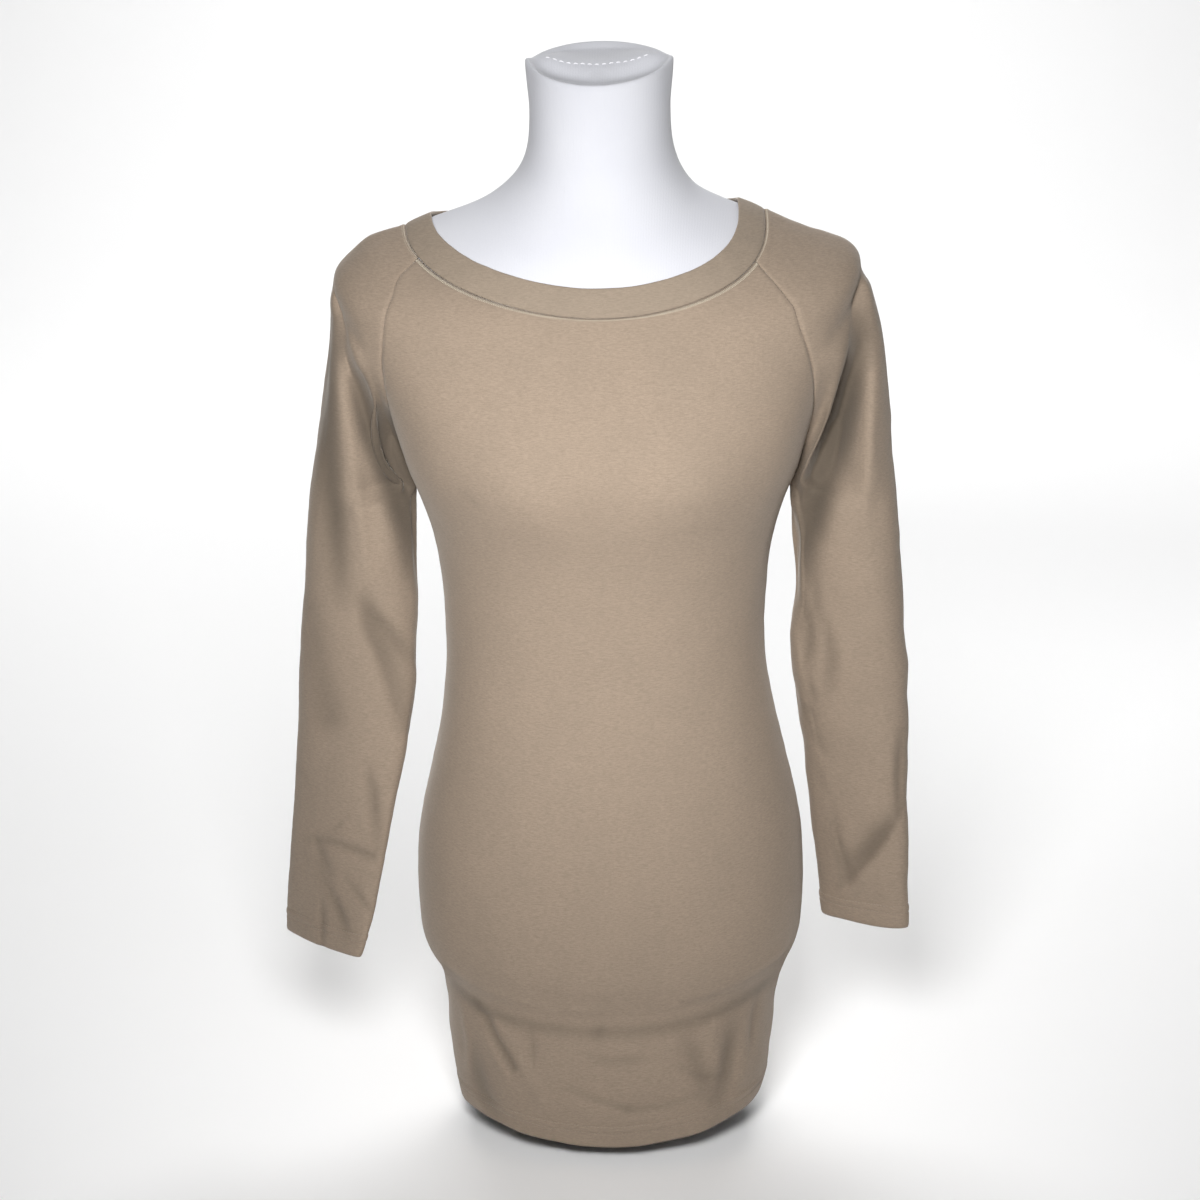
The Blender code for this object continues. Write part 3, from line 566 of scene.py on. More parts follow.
def grid_normals(points, ring=False):
    """The normals of a grid of points, facing away from the middle of each row."""
    if ring:
        wide = np.concatenate([points[:, -2:-1], points, points[:, 1:2]], axis=1)
        across = (wide[:, 2:] - wide[:, :-2]) / 2
    else:
        across = np.gradient(points, axis=1)
    normal = np.cross(across, np.gradient(points, axis=0))
    normal /= np.maximum(np.linalg.norm(normal, axis=-1, keepdims=True), 1e-12)
    outward = points - points.mean(axis=1, keepdims=True)
    return normal if (normal * outward).sum() > 0 else -normal


# A crease is a soft trough or ridge along a path of (x, z) points, on the front or the
# back. Its two widths lie towards -X and +X, and a trough's depth is negative.
# A crease's troughs also paint shade into the cloth's colour.
FRONT = -1
BACK = 1
Crease = namedtuple("Crease", "face path width_right width_left depths")
# A crease with one depth runs out to this share of it at its ends
RUN_OUT = 0.35
# How many straight parts a crease has from one of its points to the next
PATH_PARTS = 6
# The plane between the front and the back of both sleeves, and the band across it over which a fold's
# painted shade on one face gives way to the other face
SLEEVE_MIDDLE = 0.003
FACE_BLEND = 0.012


def crease(face, path, width, depth):
    """A crease with one or two widths, and one depth or several along it."""
    widths = width if isinstance(width, tuple) else (width, width)
    if not isinstance(depth, tuple):
        depth = (depth * RUN_OUT, depth, depth, depth * RUN_OUT)
    return Crease(face, path, *widths, depth)


def pressed(points, normals, creases):
    """How far each point of a grid is moved by the creases, and how deep in a fold it lies, from 0 to 1,
    as the strength of the shade painted into its colour."""
    moved = np.zeros(points.shape[:-1])
    shade = np.zeros(points.shape[:-1])
    flat = points[..., (0, 2)]
    for fold in creases:
        path = np.array(fold.path, float)
        knots = np.arange(len(path), dtype=float)
        fine = np.linspace(0, len(path) - 1, PATH_PARTS * (len(path) - 1) + 1)
        line = soft_curve(knots, path, fine, 0.5)
        best = np.full(moved.shape, 1e9)
        side = np.zeros(moved.shape)
        share = np.zeros(moved.shape)
        for k, (a, b) in enumerate(zip(line, line[1:])):
            run = b - a
            t = np.clip(((flat - a) @ run) / (run @ run), 0, 1)
            off = flat - a - t[..., None] * run
            far = np.hypot(off[..., 0], off[..., 1])
            nearer = far < best
            best = np.where(nearer, far, best)
            upward = np.sign(run[1] or 1)
            across = off[..., 0] * abs(run[1]) - off[..., 1] * run[0] * upward
            side = np.where(nearer, across, side)
            share = np.where(nearer, (k + t) / (len(line) - 1), share)
        width = np.where(side < 0, fold.width_right, fold.width_left)
        facing = smooth_step(0.5 + 2.0 * normals[..., 1] * fold.face)
        depth = np.interp(share, np.linspace(0, 1, len(fold.depths)), fold.depths)
        reach = depth * np.exp(-((best / width) ** 2))
        moved += reach * facing
        # The painted shade of the fold, kept to the face that the crease is on
        off_middle = (points[..., 1] - SLEEVE_MIDDLE) * fold.face
        shade += reach * smooth_step(0.5 + off_middle / FACE_BLEND)
    return moved, 1 - np.exp(np.minimum(shade, 0.0) / FOLD_SCALE)


WAVES = 9


def unevenness(points, size, seed):
    """A soft random rise and fall, about 1 at most, with waves of about this size."""
    draw = np.random.default_rng(seed)
    total = np.zeros(points.shape[:-1])
    for _ in range(WAVES):
        way = draw.normal(size=3)
        way *= draw.uniform(0.6, 1.5) * 2 * np.pi / size / np.linalg.norm(way)
        total += np.sin(points @ way + draw.uniform(0, 2 * np.pi))
    return total / 4


def along(points, axis):
    """How far each point is along its row or column, in metres."""
    run = np.linalg.norm(np.diff(points, axis=axis), axis=-1).cumsum(axis=axis)
    return np.insert(run, 0, 0.0, axis=axis)


def panel_angles(levels, seams, centre):
    """The angles of each row's points, from one of a panel's seams to the other."""
    ends = []
    for column, way in zip(seams, (-1, 1)):
        edge = centre + way * (90.0 - seam_angle(levels, column))
        ends.append(edge - way * seam_inset(edge, levels))
    fine = np.linspace(*ends, 60, axis=-1)
    runs = along(body_point(fine, levels[:, None]), 1)
    near = np.array(EDGE_COLUMNS)
    rows = []
    for run, angles in zip(runs, fine):
        places = np.linspace(near[-1], run[-1] - near[-1], BETWEEN_COLUMNS + 1)
        places = np.concatenate([near[:-1], places, run[-1] - near[-2::-1]])
        rows.append(np.interp(places, run, angles))
    return np.array(rows)


def from_edges(points):
    """Each point's distance along its row from the nearer end."""
    run = along(points, 1)
    return np.minimum(run, run[:, -1:] - run)


def rolled(distance):
    """How far cloth rolls down where it goes into a seam."""
    return -SEAM_SINK * np.exp(-((distance / SEAM_ROLL) ** 2))


def hemmed(height):
    """How far cloth stands out where it is hemmed, by the height above its edge."""
    doubled = HEM_STEP * smooth_step((HEM_DEPTH - height) / 0.0015)
    doubled -= HEM_STEP * 0.8 * np.exp(-((height / 0.0012) ** 2))
    for line in HEM_LINES:
        doubled -= STITCH_DENT * np.exp(-(((height - line) / 0.0009) ** 2))
    return doubled


def allowance(distance):
    """How far the cloth stands out over the edges of the neck seam, by the distance to it."""
    near = smooth_step((distance - 0.0004) / 0.0005)
    return ALLOWANCE_RISE * near * smooth_step((ALLOWANCE - distance) / 0.0007)


# The steps from row to row at the hem, up the body and over the chest
HEM_ROW_STEP = 0.0010
BODY_ROW_STEP = 0.0030
CHEST_ROW_STEP = 0.0026
# How much, in levels, the last row lies short of the neck seam
SEAM_SHORT = 0.006
# The cloth hangs free below this level, fully so a little lower
HANGS_BELOW = FORM_EDGE - 0.3
HANGS_WITHIN = 0.9
# The cloth's unevenness: its size, its height on the form and how much more when hanging,
# and a finer one on top
SWELL_SIZE = 0.05
SWELL_HEIGHT = 0.00025
SWELL_HANGING = 0.0006
RIPPLE_SIZE = 0.016
RIPPLE_HEIGHT = 0.00010


def panel_grid(seams, centre, creases, seed):
    """A body panel from the hem to the neck seam, as the form and its seams shape it."""
    levels = np.concatenate(
        [
            even_levels(0, 1, HEM_ROW_STEP)[:-1],
            even_levels(1, UNDERARM, BODY_ROW_STEP)[:-1],
            even_levels(UNDERARM, NECK_SEAM, CHEST_ROW_STEP),
        ]
    )
    levels[-1] -= SEAM_SHORT
    points = body_point(panel_angles(levels, seams, centre), levels[:, None])
    normals = grid_normals(points)
    hanging = smooth_step((HANGS_BELOW - levels) / HANGS_WITHIN)[:, None]
    # The creases move the cloth, and their depths give the shade painted into its colour.
    out, sunk = pressed(points, normals, creases)
    out = np.maximum(out, -ROOM_OVER_FORM - ROOM_BELOW_FORM * hanging)
    out += (SWELL_HEIGHT + SWELL_HANGING * hanging) * unevenness(points, SWELL_SIZE, seed)
    out += RIPPLE_HEIGHT * unevenness(points, RIPPLE_SIZE, seed + 1)
    out += rolled(from_edges(points)) + hemmed(along(points, 0))
    below_neck = along(points[::-1], 0)[::-1]
    out += rolled(below_neck) + allowance(below_neck)
    return points + normals * out[..., None], sunk


# The raw edges under a raglan seam: half their width, their thickness, and how far they
# lie under the middle of the cloth
EDGES_HALF = 0.0035
EDGES_CLOTH = 0.0005
EDGES_UNDER = 0.0010
EDGES_COLUMNS = 7
EDGES_ROW_STEP = 0.004


def seam_edges(name, column, centre, way):
    """The raw edges of a raglan seam, overlocked together and pressed flat under it."""
    levels = even_levels(UNDERARM + 0.6, NECK_SEAM - 0.08, EDGES_ROW_STEP)
    seam = centre + way * (90.0 - seam_angle(levels, column))
    step = body_point(seam + 0.5, levels) - body_point(seam - 0.5, levels)
    degree = np.linalg.norm(step, axis=-1)
    across = np.linspace(-EDGES_HALF, EDGES_HALF, EDGES_COLUMNS)
    angles = seam[:, None] + across / degree[:, None]
    levels = levels[:, None]
    points = body_point(angles, levels) - body_normal(angles, levels) * EDGES_UNDER
    return lay_sheet(name, points, jersey, thickness=EDGES_CLOTH)


# The front panel: cut in one from the hem to the neckline, drawn smooth over the bust.
# Below the form's edge it hangs free, with soft drag lines to the hem.
FRONT_CREASES = (
    crease(FRONT, ((-0.106, 0.556), (-0.100, 0.548), (-0.091, 0.541)), 0.0025, -0.0006),
    # The form's lower edge, which shows through as a soft ridge that fades at the middle
    crease(FRONT, ((-0.132, 0.158), (-0.083, 0.141), (-0.030, 0.136)), 0.006, (0.0016, 0.0008)),
    crease(FRONT, ((-0.030, 0.136), (0.030, 0.137), (0.075, 0.145)), 0.006, (0.0008, 0.0010)),
    crease(FRONT, ((0.075, 0.145), (0.110, 0.152), (0.136, 0.164)), 0.006, (0.0010, 0.0016)),
    crease(FRONT, ((-0.125, 0.134), (-0.083, 0.119), (-0.010, 0.113)), 0.006, (-0.0022, -0.0012)),
    crease(FRONT, ((-0.010, 0.113), (0.060, 0.117), (0.125, 0.134)), 0.006, (-0.0012, -0.0024)),
    crease(FRONT, ((-0.106, 0.128), (-0.093, 0.104), (-0.078, 0.078)), 0.004, (-0.0020, -0.0030)),
    crease(FRONT, ((-0.118, 0.118), (-0.114, 0.090), (-0.116, 0.060)), 0.003, 0.0016),
    crease(FRONT, ((-0.094, 0.126), (-0.088, 0.112), (-0.076, 0.104)), 0.0025, 0.0009),
    crease(FRONT, ((-0.064, 0.116), (-0.061, 0.096), (-0.064, 0.080)), 0.003, -0.0010),
    crease(FRONT, ((-0.024, 0.098), (0.004, 0.090), (0.030, 0.092)), 0.004, -0.0009),
    crease(FRONT, ((0.036, 0.106), (0.040, 0.086), (0.036, 0.064)), 0.003, 0.0010),
    crease(FRONT, ((0.054, 0.084), (0.072, 0.070), (0.094, 0.066)), 0.003, -0.0010),
    crease(FRONT, ((0.084, 0.122), (0.080, 0.100), (0.084, 0.082)), 0.003, 0.0012),
    crease(FRONT, ((0.118, 0.128), (0.114, 0.100), (0.112, 0.078)), 0.003, -0.0018),
    crease(FRONT, ((-0.099, 0.100), (-0.088, 0.080), (-0.082, 0.064)), 0.004, 0.0014),
    crease(FRONT, ((-0.112, 0.088), (-0.104, 0.050), (-0.094, 0.030)), 0.008, -0.0026),
    crease(FRONT, ((-0.070, 0.084), (-0.056, 0.055), (-0.052, 0.035)), 0.007, 0.0014),
    crease(FRONT, ((-0.036, 0.068), (-0.010, 0.056), (0.012, 0.049)), 0.004, (-0.0006, -0.0014)),
    crease(FRONT, ((0.012, 0.046), (0.040, 0.049), (0.068, 0.055)), 0.004, (-0.0012, -0.0005)),
    crease(FRONT, ((-0.040, 0.056), (-0.005, 0.043), (0.040, 0.040)), 0.006, 0.0009),
    crease(FRONT, ((0.060, 0.104), (0.072, 0.076), (0.078, 0.050)), 0.007, -0.0016),
    crease(FRONT, ((0.096, 0.110), (0.094, 0.080), (0.086, 0.045)), 0.007, -0.0026),
    crease(FRONT, ((0.108, 0.100), (0.106, 0.070), (0.100, 0.045)), 0.006, 0.0016),
)
# The creases' fold depths also paint shade into the panel's colour.
front_points, sunk = panel_grid(("front_right", "front_left"), -90.0, FRONT_CREASES, 11)
front = lay_sheet("front_panel_cloth", front_points, jersey, thickness=CLOTH, sunk=sunk)
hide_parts("front_panel")
seam_edges("seam_edges_front_right", "front_right", -90.0, -1)
seam_edges("seam_edges_front_left", "front_left", -90.0, 1)

# The back panel: the same piece behind, with the back's own neckline. The picture doesn't
# show it, so it is plain, with the few drag lines that such a top has above its hem.
BACK_CREASES = (
    crease(BACK, ((-0.090, 0.352), (-0.040, 0.362), (0.020, 0.358)), 0.006, (0.0016, 0.0006)),
    crease(BACK, ((-0.020, 0.392), (0.040, 0.400), (0.092, 0.392)), 0.006, (0.0006, 0.0017)),
    crease(BACK, ((-0.080, 0.424), (-0.046, 0.430), (-0.006, 0.427)), 0.005, (0.0013, 0.0005)),
    crease(BACK, ((-0.130, 0.156), (-0.080, 0.141), (-0.020, 0.136)), 0.006, (0.0016, 0.0008)),
    crease(BACK, ((-0.020, 0.136), (0.060, 0.140), (0.130, 0.158)), 0.006, (0.0008, 0.0016)),
    crease(BACK, ((0.098, 0.112), (0.086, 0.085), (0.070, 0.045)), 0.007, -0.0030),
    crease(BACK, ((0.112, 0.100), (0.106, 0.070), (0.100, 0.040)), 0.006, 0.0016),
    crease(BACK, ((-0.100, 0.110), (-0.092, 0.080), (-0.084, 0.040)), 0.008, -0.0026),
    crease(BACK, ((-0.060, 0.095), (-0.052, 0.070), (-0.050, 0.040)), 0.007, 0.0014),
    crease(BACK, ((0.020, 0.105), (0.012, 0.075), (0.010, 0.045)), 0.007, -0.0015),
)
# The creases' fold depths also paint shade into the panel's colour.
back_points, sunk = panel_grid(("back", "back"), 90.0, BACK_CREASES, 23)
back = lay_sheet("back_panel_cloth", back_points, jersey, thickness=CLOTH, sunk=sunk)
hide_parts("back_panel")
seam_edges("seam_edges_back_left", "back", 90.0, -1)
seam_edges("seam_edges_back_right", "back", 90.0, 1)


# The sleeves: raglan sleeves cut in one, sewn to the panels from the underarm to the
# neckline and closed by an underarm seam. With no arm inside, the cap falls from the
# shoulder's tip into a fold in front and behind, and the tube hangs flat below it.
Section = namedtuple("Section", "height outer inner middle depth skew")
# The fold from the shoulder tip to the underarm, by level, in front and behind: how far
# out and forward its ridge lies, how deep the valley outside it is and where, and how
# deep the pocket between the ridge and the seam is.
Fold = namedtuple("Fold", "level out front back valley valley_share pocket")
Sleeve = namedtuple("Sleeve", "name side front_seam cuff sections folds creases flat area")

RIGHT_SLEEVE = Sleeve(
    "sleeve_right",
    -1,
    "front_right",
    0.155,
    (
        Section(0.155, 0.2660, 0.2010, -0.004, 0.0095, 0.032),
        Section(0.195, 0.2625, 0.1885, -0.003, 0.0130, 0.030),
        Section(0.264, 0.2560, 0.1740, -0.002, 0.0180, 0.025),
        Section(0.332, 0.2500, 0.1590, 0.000, 0.0230, 0.018),
        Section(0.399, 0.2440, 0.1500, 0.001, 0.0280, 0.010),
        Section(0.465, 0.2375, 0.1480, 0.002, 0.0330, 0.004),
        Section(0.530, 0.2310, 0.1470, 0.003, 0.0370, 0.002),
        Section(0.562, 0.2255, 0.1560, 0.004, 0.0380, 0.000),
        Section(0.594, 0.2210, 0.1670, 0.004, 0.0370, 0.000),
        Section(0.626, 0.2165, 0.1780, 0.004, 0.0330, 0.000),
        Section(0.657, 0.2115, 0.1880, 0.003, 0.0270, 0.000),
        Section(0.690, 0.2080, 0.1985, 0.002, 0.0190, 0.000),
        Section(0.705, 0.2070, 0.2010, 0.002, 0.0150, 0.000),
    ),
    (
        Fold(14, 0.1500, -0.0060, 0.0060, 0.000, 0.30, 0.000),
        Fold(15, 0.1680, -0.0290, 0.0180, 0.002, 0.25, 0.014),
        Fold(16, 0.1735, -0.0385, 0.0280, 0.010, 0.25, 0.022),
        Fold(17, 0.1745, -0.0450, 0.0405, 0.018, 0.35, 0.002),
        Fold(18, 0.1860, -0.0510, 0.0490, 0.017, 0.45, 0.000),
        Fold(19, 0.1965, -0.0420, 0.0420, 0.004, 0.40, 0.000),
        Fold(20, 0.2030, -0.0170, 0.0190, 0.000, 0.40, 0.000),
    ),
    (
        crease(
            FRONT,
            ((-0.213, 0.668), (-0.213, 0.607), (-0.211, 0.520), (-0.207, 0.450)),
            0.010,
            (-0.0030, -0.0060, -0.0060, -0.0010),
        ),
        crease(FRONT, ((-0.200, 0.637), (-0.196, 0.601), (-0.190, 0.526), (-0.184, 0.470)), 0.006, 0.0038),
        crease(
            FRONT,
            ((-0.190, 0.622), (-0.180, 0.585), (-0.166, 0.548), (-0.156, 0.510), (-0.150, 0.460)),
            (0.008, 0.018),
            (-0.004, -0.010, -0.013, -0.008, -0.001),
        ),
        crease(
            FRONT,
            ((-0.190, 0.453), (-0.187, 0.430), (-0.176, 0.403), (-0.161, 0.343)),
            (0.005, 0.011),
            -0.0032,
        ),
        crease(FRONT, ((-0.189, 0.447), (-0.169, 0.423), (-0.151, 0.394)), 0.006, -0.0022),
        crease(FRONT, ((-0.232, 0.440), (-0.228, 0.400), (-0.222, 0.350)), 0.012, (-0.0006, -0.0018)),
        crease(FRONT, ((-0.190, 0.310), (-0.187, 0.288), (-0.184, 0.246)), 0.005, -0.0018),
        crease(FRONT, ((-0.249, 0.241), (-0.221, 0.246), (-0.189, 0.239)), 0.004, (-0.0008, -0.0018)),
        crease(FRONT, ((-0.220, 0.254), (-0.194, 0.251)), 0.003, 0.0010),
        crease(FRONT, ((-0.225, 0.250), (-0.208, 0.270)), 0.002, -0.0008),
        crease(FRONT, ((-0.235, 0.243), (-0.224, 0.217)), 0.004, -0.0016),
        crease(FRONT, ((-0.211, 0.218), (-0.191, 0.194)), 0.0028, -0.0014),
        crease(FRONT, ((-0.220, 0.199), (-0.212, 0.175)), 0.0035, -0.0012),
        crease(FRONT, ((-0.234, 0.222), (-0.211, 0.170)), 0.005, -0.0015),
        crease(FRONT, ((-0.232, 0.197), (-0.233, 0.150)), 0.003, -0.0018),
        crease(
            BACK,
            ((-0.205, 0.640), (-0.200, 0.590), (-0.196, 0.530), (-0.194, 0.470)),
            0.010,
            (-0.0010, -0.0045, -0.0035, -0.0004),
        ),
        crease(BACK, ((-0.176, 0.505), (-0.190, 0.450), (-0.214, 0.400)), (0.011, 0.006), -0.0030),
        crease(BACK, ((-0.160, 0.440), (-0.182, 0.402), (-0.200, 0.352)), 0.007, -0.0024),
        crease(BACK, ((-0.236, 0.420), (-0.220, 0.380), (-0.196, 0.352)), 0.005, 0.0018),
        crease(BACK, ((-0.250, 0.300), (-0.222, 0.286), (-0.190, 0.290)), 0.005, -0.0016),
        crease(BACK, ((-0.215, 0.270), (-0.204, 0.235), (-0.206, 0.190)), 0.006, -0.0018),
        crease(BACK, ((-0.244, 0.230), (-0.232, 0.200), (-0.234, 0.160)), 0.004, -0.0016),
    ),
    (0.285, 0.66),
    0.128,
)
LEFT_SLEEVE = Sleeve(
    "sleeve_left",
    1,
    "front_left",
    0.166,
    (
        Section(0.166, 0.2430, 0.1765, 0.004, 0.0120, -0.018),
        Section(0.195, 0.2430, 0.1735, 0.004, 0.0150, -0.018),
        Section(0.264, 0.2415, 0.1645, 0.004, 0.0200, -0.016),
        Section(0.332, 0.2415, 0.1575, 0.004, 0.0250, -0.012),
        Section(0.400, 0.2387, 0.1485, 0.004, 0.0300, -0.010),
        Section(0.450, 0.2350, 0.1525, 0.004, 0.0320, -0.010),
        Section(0.480, 0.2330, 0.1510, 0.004, 0.0340, -0.010),
        Section(0.530, 0.2292, 0.1475, 0.004, 0.0365, -0.008),
        Section(0.562, 0.2257, 0.1560, 0.004, 0.0370, -0.006),
        Section(0.594, 0.2240, 0.1670, 0.004, 0.0360, -0.004),
        Section(0.626, 0.2210, 0.1780, 0.004, 0.0320, -0.002),
        Section(0.657, 0.2170, 0.1880, 0.003, 0.0260, 0.000),
        Section(0.690, 0.2078, 0.1965, 0.002, 0.0180, 0.000),
        Section(0.710, 0.2040, 0.1960, 0.002, 0.0140, 0.000),
    ),
    (
        Fold(14, 0.1520, -0.0110, 0.0060, 0.004, 0.35, 0.000),
        Fold(15, 0.1590, -0.0270, 0.0180, 0.020, 0.35, 0.000),
        Fold(16, 0.1715, -0.0385, 0.0280, 0.024, 0.35, 0.006),
        Fold(17, 0.1790, -0.0450, 0.0405, 0.024, 0.35, 0.004),
        Fold(18, 0.1860, -0.0510, 0.0490, 0.015, 0.35, 0.000),
        Fold(19, 0.1920, -0.0420, 0.0420, 0.004, 0.35, 0.000),
        Fold(20, 0.1965, -0.0170, 0.0190, 0.000, 0.35, 0.000),
    ),
    (
        crease(FRONT, ((0.206, 0.622), (0.205, 0.568), (0.202, 0.510)), 0.007, 0.0034),
        crease(
            FRONT,
            ((0.198, 0.664), (0.193, 0.626), (0.182, 0.575), (0.165, 0.522), (0.153, 0.447)),
            (0.012, 0.010),
            (-0.002, -0.008, -0.015, -0.012, -0.001),
        ),
        crease(FRONT, ((0.153, 0.447), (0.163, 0.415), (0.159, 0.382)), 0.005, -0.0022),
        crease(FRONT, ((0.171, 0.431), (0.179, 0.398), (0.177, 0.365)), 0.006, -0.0020),
        crease(FRONT, ((0.151, 0.365), (0.165, 0.332), (0.176, 0.307)), 0.005, -0.0020),
        crease(FRONT, ((0.165, 0.454), (0.168, 0.428)), 0.004, -0.0014),
        crease(FRONT, ((0.149, 0.415), (0.158, 0.370)), 0.004, 0.0014),
        crease(FRONT, ((0.163, 0.378), (0.167, 0.354)), 0.003, -0.0012),
        crease(FRONT, ((0.156, 0.354), (0.167, 0.344)), 0.003, -0.0012),
        crease(FRONT, ((0.199, 0.465), (0.206, 0.442)), 0.003, 0.0014),
        crease(FRONT, ((0.235, 0.334), (0.233, 0.301), (0.235, 0.267)), 0.004, -0.0022),
        crease(FRONT, ((0.235, 0.264), (0.218, 0.237), (0.197, 0.203)), (0.011, 0.0035), -0.0040),
        crease(FRONT, ((0.212, 0.222), (0.204, 0.205), (0.194, 0.190)), 0.003, 0.0018),
        crease(FRONT, ((0.180, 0.281), (0.187, 0.239), (0.198, 0.192)), 0.005, -0.0018),
        crease(FRONT, ((0.165, 0.330), (0.181, 0.280), (0.191, 0.229)), 0.006, 0.0014),
        crease(
            BACK,
            ((0.204, 0.640), (0.200, 0.585), (0.194, 0.525), (0.186, 0.460)),
            0.010,
            (-0.0010, -0.0050, -0.0035, -0.0004),
        ),
        crease(BACK, ((0.172, 0.500), (0.192, 0.455), (0.220, 0.425)), (0.006, 0.011), -0.0030),
        crease(BACK, ((0.158, 0.430), (0.178, 0.398), (0.206, 0.372)), 0.006, -0.0026),
        crease(BACK, ((0.232, 0.395), (0.214, 0.360), (0.196, 0.338)), 0.005, 0.0018),
        crease(BACK, ((0.236, 0.320), (0.208, 0.300), (0.176, 0.302)), 0.005, -0.0018),
        crease(BACK, ((0.196, 0.280), (0.206, 0.240), (0.204, 0.196)), 0.006, -0.0020),
        crease(BACK, ((0.226, 0.244), (0.222, 0.210), (0.226, 0.172)), 0.004, -0.0014),
    ),
    (0.285, 0.65),
    0.126,
)
# Angles round a sleeve of the guide lines that its rows pass through. Over the shoulder
# the first and last are on the seams, the next two on a flap, and then come the flap's
# ridge and the valley outside it.
GUIDE_ANGLES = (-180, -162, -145, -128, -104, -72, -36, 0, 36, 72, 104, 128, 145, 162, 180)
GUIDE_COLUMNS = (6, 6, 6, 8, 10, 11, 12, 12, 11, 10, 8, 6, 6, 6)
MIDDLE_GUIDE = 7
RIDGE_GUIDES = (3, 11)
VALLEY_GUIDES = (4, 10)
# How the middle guide lines share the arc between the two ridges on the shoulder
MIDDLE_SHARES = (-1.0, -0.80, -0.55, -0.27, 0.0, 0.27, 0.55, 0.80, 1.0)
# A ridge's angle as a share of its seam's, which grows from RIDGE_TOP to the neck
RIDGE_TOP = 18.5
RIDGE_SHARE = 0.25
RIDGE_SHARE_AT_NECK = 0.60
# How far a hanging sleeve stays off the body, and off the body's own seam at the underarm
FLAP_LIFT = 0.0020
SEAM_CORNER = 0.0010
UNDERARM_REACH = 0.036
UNDERARM_STEP = 0.0048
UNDERARM_LIFT = 0.0013
RELAX_ROUNDS = 3
# The rows of a sleeve: their step over the shoulder and down the tube, and at the cuff
CAP_ROW_STEP = 0.0024
TUBE_ROW_STEP = 0.0026
CUFF_TOP = 0.023
CUFF_ROWS = 24
# The lowest row over the shoulder lies this many levels above the underarm
CAP_START = 0.25
# The cloth gets more uneven over this length below the underarm
TUBE_SPREAD = 0.02
SLEEVE_SWELL_SIZE = 0.045
SLEEVE_SWELL_HEIGHT = 0.0002
SLEEVE_RIPPLE_SIZE = 0.014
SLEEVE_RIPPLE_HEIGHT = 0.00015
# A tube's seam rolls in less than a cap's
TUBE_ROLL_SHARE = 0.6
# A fold stops this far short of the plane between a sleeve's front and back
WALL_ROOM = 0.005
# How many levels below the shoulder tip a flap, and the outer sleeve, take to hang free
HANG_LEVELS = 2.2
DROP_LEVELS = 0.6


def side_angle(side, angle):
    """The body's angle for an angle that is counted from one side, front negative."""
    return angle if side > 0 else np.where(np.asarray(angle) < 0, -180 - angle, 180 - angle)


def side_point(side, angle, level):
    """A point of the body at an angle that is counted from one side."""
    return body_point(side_angle(side, angle), level)


def tube_point(sleeve, height, angle):
    """The middle of a sleeve's cloth at a height: 0 degrees is its outer side, -90 its front."""
    height, angle = np.broadcast_arrays(np.asarray(height, float), np.asarray(angle, float))
    section = read_table(sleeve.sections, height, 0.03)
    cos, sin = np.cos(np.radians(angle)), np.sin(np.radians(angle))
    out = (section.outer + section.inner) / 2 + (section.outer - section.inner) / 2 * cos
    y = section.middle + section.depth * sin + section.skew * cos
    return np.stack([out, y, height], -1)


def lifted_off_body(points, angles, level, lift):
    """Points, moved out where they would come closer to the body than their lift."""
    out = body_normal(angles, level)
    height = ((points - body_point(angles, level)) * out).sum(axis=-1)
    return points + out * np.maximum(lift - height, 0.0)[:, None]


def cap_guides(sleeve, level):
    """Guide points of a row over the shoulder, on the sleeve's own side, front to back."""
    mirror = np.array((sleeve.side, 1, 1))
    front = float(seam_angle(level, sleeve.front_seam))
    back = float(seam_angle(level, "back"))
    hang = float(smooth_step((SHOULDER_TIP - level) / HANG_LEVELS))
    corner = 1 + 2 * hang * SEAM_CORNER / SEAM_GAP
    front_edge = -front + seam_inset(-front, level) * corner
    back_edge = back - seam_inset(back, level) * corner
    upward = float(smooth_step((level - RIDGE_TOP) / (NECK_SEAM - RIDGE_TOP)))
    share = RIDGE_SHARE + (RIDGE_SHARE_AT_NECK - RIDGE_SHARE) * upward
    ridges = (front_edge * share, back_edge * share)
    first = [front_edge + (ridges[0] - front_edge) * third / 3 for third in (0, 1, 2)]
    last = [back_edge + (ridges[1] - back_edge) * third / 3 for third in (2, 1, 0)]
    middle = [abs(share) * ridges[share > 0] for share in MIDDLE_SHARES]
    angles = np.array(first + middle + last)
    guides = side_point(sleeve.side, angles, level) * mirror
    if hang == 0:
        return guides
    height = guides[MIDDLE_GUIDE][2]
    fold = read_table(sleeve.folds, level, 0.8)
    free = tube_point(sleeve, height, np.array(GUIDE_ANGLES))
    ends = (0, len(free) - 1)
    for end, ridge, valley, reach in zip(
        ends, RIDGE_GUIDES, VALLEY_GUIDES, (fold.front, fold.back)
    ):
        step = 1 if end == 0 else -1
        inward = -math.copysign(fold.valley, reach)
        tube_out = free[valley + step][0]
        valley_out = fold.out + (tube_out - fold.out) * fold.valley_share
        free[ridge] = (fold.out, reach, guides[ridge][2])
        free[valley] = (valley_out, reach + inward, height)
        guides[end][0] += smooth_step(UNDERARM + 2 - level) * UNDERARM_LIFT
        free[end] = guides[end]
        for third in (1, 2):
            free[end + step * third] = guides[end] + (free[ridge] - guides[end]) * third / 3
            free[end + step * third][1] -= math.copysign(fold.pocket, reach)
    hanging = np.full((len(free), 1), hang)
    drop = smooth_step((SHOULDER_TIP - level) / DROP_LEVELS)
    hanging[VALLEY_GUIDES[0] + 1 : VALLEY_GUIDES[1]] = drop
    guides = guides * (1 - hanging) + free * hanging
    turned = side_angle(sleeve.side, angles[1:-1])
    lift = FLAP_LIFT * hanging[1:-1, 0]
    guides[1:-1] = lifted_off_body(guides[1:-1] * mirror, turned, level, lift) * mirror
    return guides


